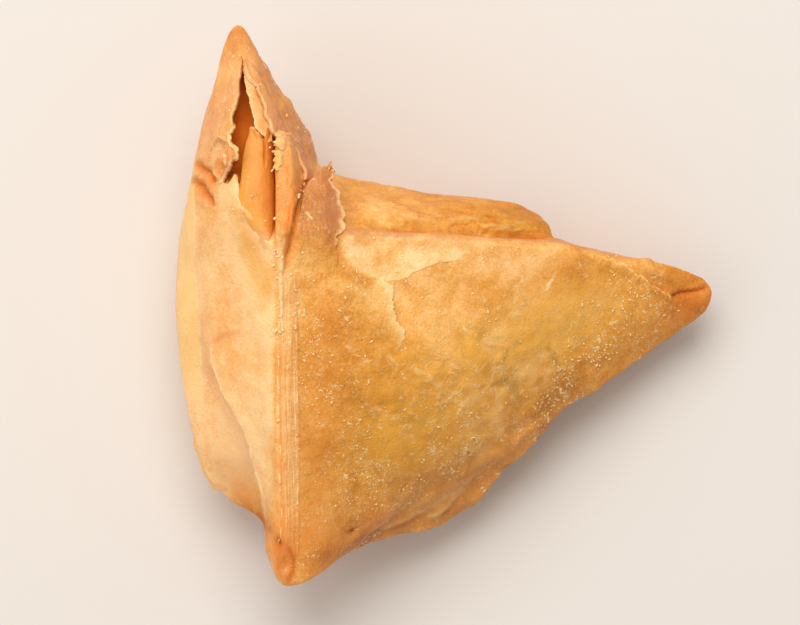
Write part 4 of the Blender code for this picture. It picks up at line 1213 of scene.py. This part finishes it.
def makeBursts():
    # burst bubbles: rings with a round section, half sunk in the crust; their radius and thickness follow
    # sines of the turn round them, with random starts
    rng = np.random.default_rng(bursts["seed"])
    points, faces = [], []
    steps, sides = bursts["steps"], bursts["sides"]
    k, j = np.meshgrid(np.arange(steps), np.arange(sides), indexing="ij")
    turn, section = 2 * math.pi * k / steps, 2 * math.pi * j / sides
    after, above = (k + 1) % steps * sides, (j + 1) % sides
    ringFaces = np.stack([k * sides + j, after + j, after + above, k * sides + above], -1).reshape(-1, 4)
    for cx, cy, r in marks["bubbles"]:
        wave = 1 + 0.25 * np.sin(turn + rng.uniform(0, 6)) + 0.12 * np.sin(3 * turn + rng.uniform(0, 6))
        thick = bursts["thick"] * (1 + 0.5 * np.sin(2 * turn + rng.uniform(0, 6)))
        reach = r * wave + thick * np.cos(section)
        x, y = cx + reach * np.cos(turn), cy + reach * np.sin(turn)
        ground = onCrust(cx + r * wave * np.cos(turn), cy + r * wave * np.sin(turn), 0)[..., 2]
        ring = stack(x, y, ground + 0.3 * thick + thick * np.sin(section))
        faces += (ringFaces + len(points) * steps * sides).tolist()
        points.append(ring.reshape(-1, 3))
    addPaler("bursts", np.concatenate(points), faces, bursts["pale"])


everywhere = (-43, -45, 43, 42)                                # lowest x and y, highest x and y
blisters = {
    "tries": 34000, "seed": 300, "radius": (0.07, 0.22), "flat": 0.6, "sunk": 0.35, "pale": 0.30,
    "always": 0.08,
    "places": [(0.75, 25, -11.5, 9, 3.6, 30), (0.40, 33, 2.5, 6, 3.5, -20), (0.30, -6, -27, 11, 5, 35),
               (0.30, -20, -10, 5, 9), (0.35, -14, -35, 5, 4, 40), (0.25, 12, -3, 6, 5),
               (0.30, -26, -30, 2.5, 12), (0.6, -25, 27, 5, 8, 30)],
}


def blisterDensity(x, y):
    # mounds, in clumps of a cloud, fewer beyond the seam and on the wide end
    clump = ease((cloud(stack(x, y, 0), 2.2, 305, 2) - 0.35) / 0.3)
    front = 0.3 + 0.7 * ease(0.3 - (y - seamLine(x)))
    total = blisters["always"] + spotted(x, y, blisters["places"])
    return total * clump * front * (1 - 0.75 * ease((-29 - x) / 2))


def makeBlisters():
    # flattened lumps, partly sunk; a power of a random number keeps most of them small
    x, y, rng = scatter(blisters, blisterDensity, everywhere)
    low, high = blisters["radius"]
    radius = low + (high - low) * rng.random(len(x)) ** 2.5
    z = onCrust(x, y, 0)[..., 2] + radius * blisters["flat"] * (1 - 2 * blisters["sunk"])
    shown = trough(x, y) <= 0.3
    points, faces = lumps(x[shown], y[shown], z[shown], radius[shown], blisters["flat"], rng, 2, 5)
    addPaler("blisters", points, faces, blisters["pale"])


crumbs = {
    "tries": 16000, "seed": 320, "radius": (0.11, 0.30), "flat": 0.7, "pale": 0.30,
    "places": [(0.85, -24.6, 28, 2.2, 3.5, 25), (0.7, -28.0, 9, 0.9, 5), (0.7, -27.8, -2, 0.5, 9),
               (0.3, -25.0, -12, 0.4, 22), (0.6, -24.0, 23, 0.8, 6), (0.5, -26.8, 23, 1.6, 3),
               (0.35, -28.6, 29.5, 1.2, 2.5), (0.15, -33.5, 15, 1.5, 6, 30), (0.2, -24, 20, 1.0, 6)],
}


def makeCrumbs():
    # lumps standing on the layers; a power of a random number keeps most of them small
    x, y, rng = scatter(crumbs, lambda x, y: spotted(x, y, crumbs["places"]), everywhere)
    low, high = crumbs["radius"]
    radius = low + (high - low) * rng.random(len(x)) ** 3
    top = onCrust(x, y, 0.25)[..., 2] - np.where(trough(x, y) > 0.5, 0.7, 0)
    points, faces = lumps(x, y, top + 0.2 * radius, radius, crumbs["flat"], rng, 4, 7)
    addPaler("crumbs", points, faces, crumbs["pale"])


flecks = {
    "tries": 4500, "seed": 340, "pale": 0.26,
    "length": (0.4, 1.3), "width": 0.11, "height": 0.07, "bend": 4.5,
    "steps": 9, "section": [(-1, -0.6), (-0.7, 0.5), (0, 1), (0.7, 0.5), (1, -0.6)], "box": (-24, -43, 40, 9),
    "places": [(0.30, 25, -12, 9, 4, 30), (0.35, -18, -14, 5, 6), (0.25, 0, -12, 12, 8),
               (0.25, -8, -27, 10, 5, 35), (0.2, 12, -3, 6, 5), (0.25, 5, -22, 4, 3)],
}


def fleckDensity(x, y):  # mounds, in clusters where a cloud runs high
    return spotted(x, y, flecks["places"]) * ease((cloud(stack(x, y, 0), 2.4, 345, 2) - 0.60) / 0.08)


def makeFlecks():
    # short curled ridges: a half-round section carried along an arc, and made smaller towards both ends by
    # the root of one less the square of the distance from its middle
    x, y, rng = scatter(flecks, fleckDensity, flecks["box"])
    count, steps = len(x), flecks["steps"]
    length = rng.uniform(*flecks["length"], count)[:, None]
    bend = rng.uniform(-flecks["bend"], flecks["bend"], count)[:, None]
    heading = rng.uniform(0, 2 * math.pi, count)[:, None]
    t = np.linspace(-0.5, 0.5, steps)[None]
    angle = heading + bend * t
    px = x[:, None] + np.cumsum(np.cos(angle), 1) * length / steps
    py = y[:, None] + np.cumsum(np.sin(angle), 1) * length / steps
    taper = np.sqrt(np.clip(1 - (2 * t) ** 2, 0.05, 1)) * (0.6 + 0.8 * rng.random((count, steps)))
    section = np.array(flecks["section"])
    across = section[:, 0] * flecks["width"] * taper[..., None]
    qx = px[..., None] - np.sin(angle)[..., None] * across
    qy = py[..., None] + np.cos(angle)[..., None] * across
    qz = onCrust(px, py, 0)[..., 2][..., None] + section[:, 1] * flecks["height"] * taper[..., None]
    points = np.stack([qx, qy, qz], -1).reshape(-1, 3)          # fleck, step, point of the section
    i, j = np.meshgrid(np.arange(steps - 1), np.arange(4), indexing="ij")
    a, below = (i * 5 + j).ravel(), np.arange(steps - 1) * 5
    quads = np.stack([a, a + 5, a + 6, a + 1], 1)
    under = np.stack([below + 4, below + 9, below + 5, below], 1)
    starts = (np.arange(count) * steps * 5)[:, None, None]
    faces = (np.concatenate([quads, under])[None] + starts).reshape(-1, 4).tolist()
    caps = np.array([[4, 3, 2, 1, 0], [steps * 5 - k for k in (5, 4, 3, 2, 1)]])
    faces += (caps[None] + starts).reshape(-1, 5).tolist()
    addPaler("flecks", points, faces, flecks["pale"])


makeBursts()
makeBlisters()
makeCrumbs()
makeFlecks()


# finish of the dough
paints = {  # as seen on a screen, 0 to 255
    "pale": (255, 212, 150), "light": (248, 188, 113), "gold": (230, 159, 71), "amber": (204, 128, 42),
    "brown": (160, 92, 34), "orange": (240, 142, 58), "rosy": (212, 138, 92), "yolk": (234, 168, 58),
    # the deep colour serves both the dough's deep orange and painted shade; the fleck colour serves both pale
    # skin and painted highlight
    "olive": (186, 126, 36), "deep": (204, 100, 8), "fleck": (255, 224, 166),
}


def paint(name):  # a colour in the linear numbers that nodes take
    parts = [c / 255 for c in paints[name]]
    return (*(c / 12.92 if c < 0.04045 else ((c + 0.055) / 1.055) ** 2.4 for c in parts), 1)


def put(tree, kind, feeds=None, **settings):
    # adds a node, sets its options, and feeds its sockets with links or values
    node = tree.nodes.new(kind)
    for key, value in settings.items():
        setattr(node, key, value)
    for key, value in (feeds or {}).items():
        if isinstance(value, bpy.types.NodeSocket):
            tree.links.new(value, node.inputs[key])
        else:
            node.inputs[key].default_value = value
    return node


def mixed(tree, share, a, b):  # from colour a to colour b by a share
    return put(tree, "ShaderNodeMix", {0: share, 6: a, 7: b}, data_type="RGBA", blend_type="MIX").outputs[2]


def sums(tree, operation, *values, clamp=False):
    # combines values one after another
    total = values[0]
    for value in values[1:]:
        node = put(tree, "ShaderNodeMath", {0: total, 1: value}, operation=operation, use_clamp=clamp)
        total = node.outputs[0]
    return total


def ranged(tree, value, low, high, to=(0.0, 1.0)):  # smooth step between low and high
    feeds = {"Value": value, "From Min": low, "From Max": high, "To Min": to[0], "To Max": to[1]}
    return put(tree, "ShaderNodeMapRange", feeds, interpolation_type="SMOOTHSTEP").outputs[0]


def noise(tree, place, size, detail=2.0, uneven=0.5, twist=0.0):
    # size is the width of its patches in millimetres
    feeds = {"Vector": place, "Scale": 0.5 / (size * millimetre), "Detail": detail, "Roughness": uneven,
             "Distortion": twist}
    return put(tree, "ShaderNodeTexNoise", feeds).outputs["Fac"]


def newGroup(name, inputs, outputs):  # node group with its sockets
    group = bpy.data.node_groups.new(name, "ShaderNodeTree")
    for key, kind, value in inputs:
        group.interface.new_socket(key, in_out="INPUT", socket_type=kind).default_value = value
    for key, kind in outputs:
        group.interface.new_socket(key, in_out="OUTPUT", socket_type=kind)
    return group, group.nodes.new("NodeGroupInput").outputs, group.nodes.new("NodeGroupOutput").inputs


maskNames = ("tone", "rosy", "orange", "yolk", "deep", "blister", "veined", "fleck")
fried = {
    "mottling": 0.09, "small": 0.10,                           # how far the fields move the tone
    "stops": ((0.05, "pale"), (0.25, "light"), (0.48, "gold"), (0.72, "amber"), (0.97, "brown")),
    "cells": ((0.55, 0.50), (0.95, 0.38)),                     # size of the round spots, and their reach
    "specks": ((0.40, 0.585, 0.55), (1.0, 0.61, 0.75)),        # width, level and strength of the torn specks
    "spotShare": 0.85, "curlShare": 0.38,
}


def addSpots(group, place, given):
    # tiny pale spots where the skin has blistered: round cells, more of them where the mask and a broad
    # field allow, and ragged specks of torn skin where fine fields run high
    broad = ranged(group, noise(group, place, 2.6, 2.0), 0.40, 0.60)
    spread = sums(group, "MULTIPLY", given["blister"], broad)
    spots = 0.0
    for cell, reach in fried["cells"]:
        feeds = {"Vector": place, "Scale": 1 / (cell * millimetre), "Randomness": 1.0}
        cells = put(group, "ShaderNodeTexVoronoi", feeds)
        size = sums(group, "MULTIPLY", cells.outputs["Color"], reach, spread)
        dot = ranged(group, sums(group, "SUBTRACT", size, cells.outputs["Distance"]), 0.0, 0.08)
        spots = sums(group, "MAXIMUM", dot, spots)
    specks = 0.0
    for width, low, strength in fried["specks"]:
        high = ranged(group, noise(group, place, width, 4.0, 0.65, 1.0), low, low + 0.05)
        specks = sums(group, "MAXIMUM", specks, sums(group, "MULTIPLY", high, strength))
    specks = sums(group, "MULTIPLY", specks, ranged(group, spread, 0.05, 0.45))
    return sums(group, "MAXIMUM", spots, specks)


def friedGroup():
    # browning: a ramp from pale to brown dough, moved by mottling, then tinted by the other masks, which
    # bring painted shade and painted highlights as well
    masks = [(key, "NodeSocketFloat", 0.4 if key == "tone" else 0.0) for key in maskNames]
    outputs = [("Colour", "NodeSocketColor"), ("Height", "NodeSocketFloat")]
    group, given, out = newGroup("fried", masks, outputs)
    place = put(group, "ShaderNodeTexCoord").outputs["Object"]
    far, near = fried["mottling"], fried["small"]
    broad = ranged(group, noise(group, place, 6.0, 2.0, 0.5, 0.4), 0.3, 0.7, (-far, far))
    small = ranged(group, noise(group, place, 1.2, 4.0, 0.65, 0.4), 0.3, 0.7, (-near, near))
    grain = ranged(group, noise(group, place, 0.22, 2.0, 0.6), 0.25, 0.75, (-far, far))
    moved = sums(group, "ADD", broad, small, grain)
    tone = sums(group, "ADD", given["tone"], moved, clamp=True)
    ramp = put(group, "ShaderNodeValToRGB", {"Fac": tone})
    stops = ramp.color_ramp.elements
    for stop, (position, name) in zip((stops[0], stops[1]), (fried["stops"][0], fried["stops"][-1])):
        stop.position, stop.color = position, paint(name)
    for position, name in fried["stops"][1:-1]:
        stops.new(position).color = paint(name)
    colour = ramp.outputs["Color"]
    patch = ranged(group, noise(group, place, 3.0, 3.0, 0.6, 0.5), 0.35, 0.65, (0.5, 0.8))
    for key in ("yolk", "orange", "rosy"):
        colour = mixed(group, sums(group, "MULTIPLY", given[key], patch), colour, paint(key))
    # thin skin shows darker between wrinkles, and the wrinkles are thin curling lines where a twisted field
    # crosses its middle
    thin = ranged(group, noise(group, place, 2.6, 3.0, 0.6, 0.8), 0.48, 0.70, (0.0, 0.65))
    colour = mixed(group, sums(group, "MULTIPLY", thin, given["veined"]), colour, paint("olive"))
    field = sums(group, "SUBTRACT", noise(group, place, 2.2, 3.0, 0.55, 1.0), 0.5)
    field = sums(group, "ABSOLUTE", field, 0.0)
    broken = ranged(group, noise(group, place, 1.5, 2.0), 0.42, 0.62)
    curl = sums(group, "MULTIPLY", ranged(group, field, 0.030, 0.0), broken, given["veined"])
    spots = addSpots(group, place, given)
    dotted = sums(group, "MULTIPLY", spots, fried["spotShare"])
    curled = sums(group, "MULTIPLY", curl, fried["curlShare"])
    pale = sums(group, "MAXIMUM", dotted, curled, given["fleck"])
    # pale skin with painted highlights, then deep orange with painted shade
    colour = mixed(group, pale, colour, paint("fleck"))
    colour = mixed(group, given["deep"], colour, paint("deep"))
    fine = sums(group, "ADD", sums(group, "MULTIPLY", grain, 1.4), sums(group, "MULTIPLY", small, 1.3))
    fine = sums(group, "ADD", fine, sums(group, "MULTIPLY", curl, 0.6))
    group.links.new(colour, out["Colour"])
    group.links.new(sums(group, "ADD", fine, sums(group, "MULTIPLY", spots, 0.6)), out["Height"])
    return group


dough = {
    "Specular IOR Level": 0.25, "Subsurface Weight": 0.12, "Subsurface Radius": (1.0, 0.45, 0.15),
    "Subsurface Scale": 1.2 * millimetre,
}


def makeDough(group):
    # the one material: the colour and bumps of the group, with a little light passing through
    material = bpy.data.materials.new("dough")
    material.use_nodes = True
    tree = material.node_tree
    shader = tree.nodes["Principled BSDF"]
    look = put(tree, "ShaderNodeGroup", node_tree=group)
    for key in maskNames:
        mask = put(tree, "ShaderNodeAttribute", attribute_name=key, name=key)
        tree.links.new(mask.outputs["Fac"], look.inputs[key])
    feeds = {"Height": look.outputs["Height"], "Distance": 0.35 * millimetre, "Strength": 0.5}
    bump = put(tree, "ShaderNodeBump", feeds)
    tree.links.new(look.outputs["Colour"], shader.inputs["Base Color"])
    tree.links.new(bump.outputs["Normal"], shader.inputs["Normal"])
    deep = tree.nodes["deep"].outputs["Fac"]
    tree.links.new(ranged(tree, deep, 0.0, 1.0, (0.45, 0.8)), shader.inputs["Roughness"])
    for key, value in dough.items():
        shader.inputs[key].default_value = value
    return material


doughMaterial = makeDough(friedGroup())
for piece in pieces:
    piece.data.materials.append(doughMaterial)
    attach(piece, "root")
print("finish on", len(pieces), "pieces")


# floor, light and camera

studio = {
    "floorColour": (0.70, 0.64, 0.58), "floorSize": 3.0,
    "keyPlace": (-0.10, 0.55, 0.85), "keySize": 0.80, "keyWatts": 8.4,
    "fillPlace": (-0.75, -0.05, 0.90), "fillSize": 1.2, "fillWatts": 3.6,
    "lampsAim": 0.02, "skyColour": (1.0, 0.98, 0.95), "skyStrength": 0.51,
    "cameraHeight": 2.0, "viewWidth": 0.136, "viewCentre": (-0.00765, -0.00119), "focusHeight": 0.017,
    "sensor": 36,
}


def makeFloor():
    size = studio["floorSize"]
    corners = [(-size, -size, 0), (size, -size, 0), (size, size, 0), (-size, size, 0)]
    mesh = bpy.data.meshes.new("floor")
    mesh.from_pydata(corners, [], [(0, 1, 2, 3)])
    floor = bpy.data.objects.new("floor", mesh)
    bpy.context.scene.collection.objects.link(floor)
    material = bpy.data.materials.new("floor")
    material.use_nodes = True
    shader = material.node_tree.nodes["Principled BSDF"]
    shader.inputs["Base Color"].default_value = (*studio["floorColour"], 1)
    shader.inputs["Roughness"].default_value = 0.9
    mesh.materials.append(material)


def makeLamp(name, place, size, watts):  # soft round lamp turned to the middle
    lamp = bpy.data.lights.new(name, "AREA")
    lamp.shape, lamp.size, lamp.energy = "DISK", size, watts
    holder = bpy.data.objects.new(name, lamp)
    bpy.context.scene.collection.objects.link(holder)
    holder.location = place
    across, forward = math.hypot(place[0], place[1]), place[2] - studio["lampsAim"]
    holder.rotation_euler = (math.atan2(across, forward), 0, math.atan2(place[1], place[0]) + math.pi / 2)
    holder.visible_camera = False


def makeCamera():  # looks straight down
    camera = bpy.data.cameras.new("camera")
    camera.sensor_width = studio["sensor"]
    camera.lens = studio["sensor"] * (studio["cameraHeight"] - studio["focusHeight"]) / studio["viewWidth"]
    holder = bpy.data.objects.new("camera", camera)
    bpy.context.scene.collection.objects.link(holder)
    holder.location = (*studio["viewCentre"], studio["cameraHeight"])
    bpy.context.scene.camera = holder


makeFloor()
makeLamp("key", studio["keyPlace"], studio["keySize"], studio["keyWatts"])
makeLamp("fill", studio["fillPlace"], studio["fillSize"], studio["fillWatts"])
makeCamera()
world = bpy.data.worlds.new("sky")
world.use_nodes = True
world.node_tree.nodes["Background"].inputs["Color"].default_value = (*studio["skyColour"], 1)
world.node_tree.nodes["Background"].inputs["Strength"].default_value = studio["skyStrength"]
bpy.context.scene.world = world
bpy.context.scene.view_settings.view_transform = "Standard"
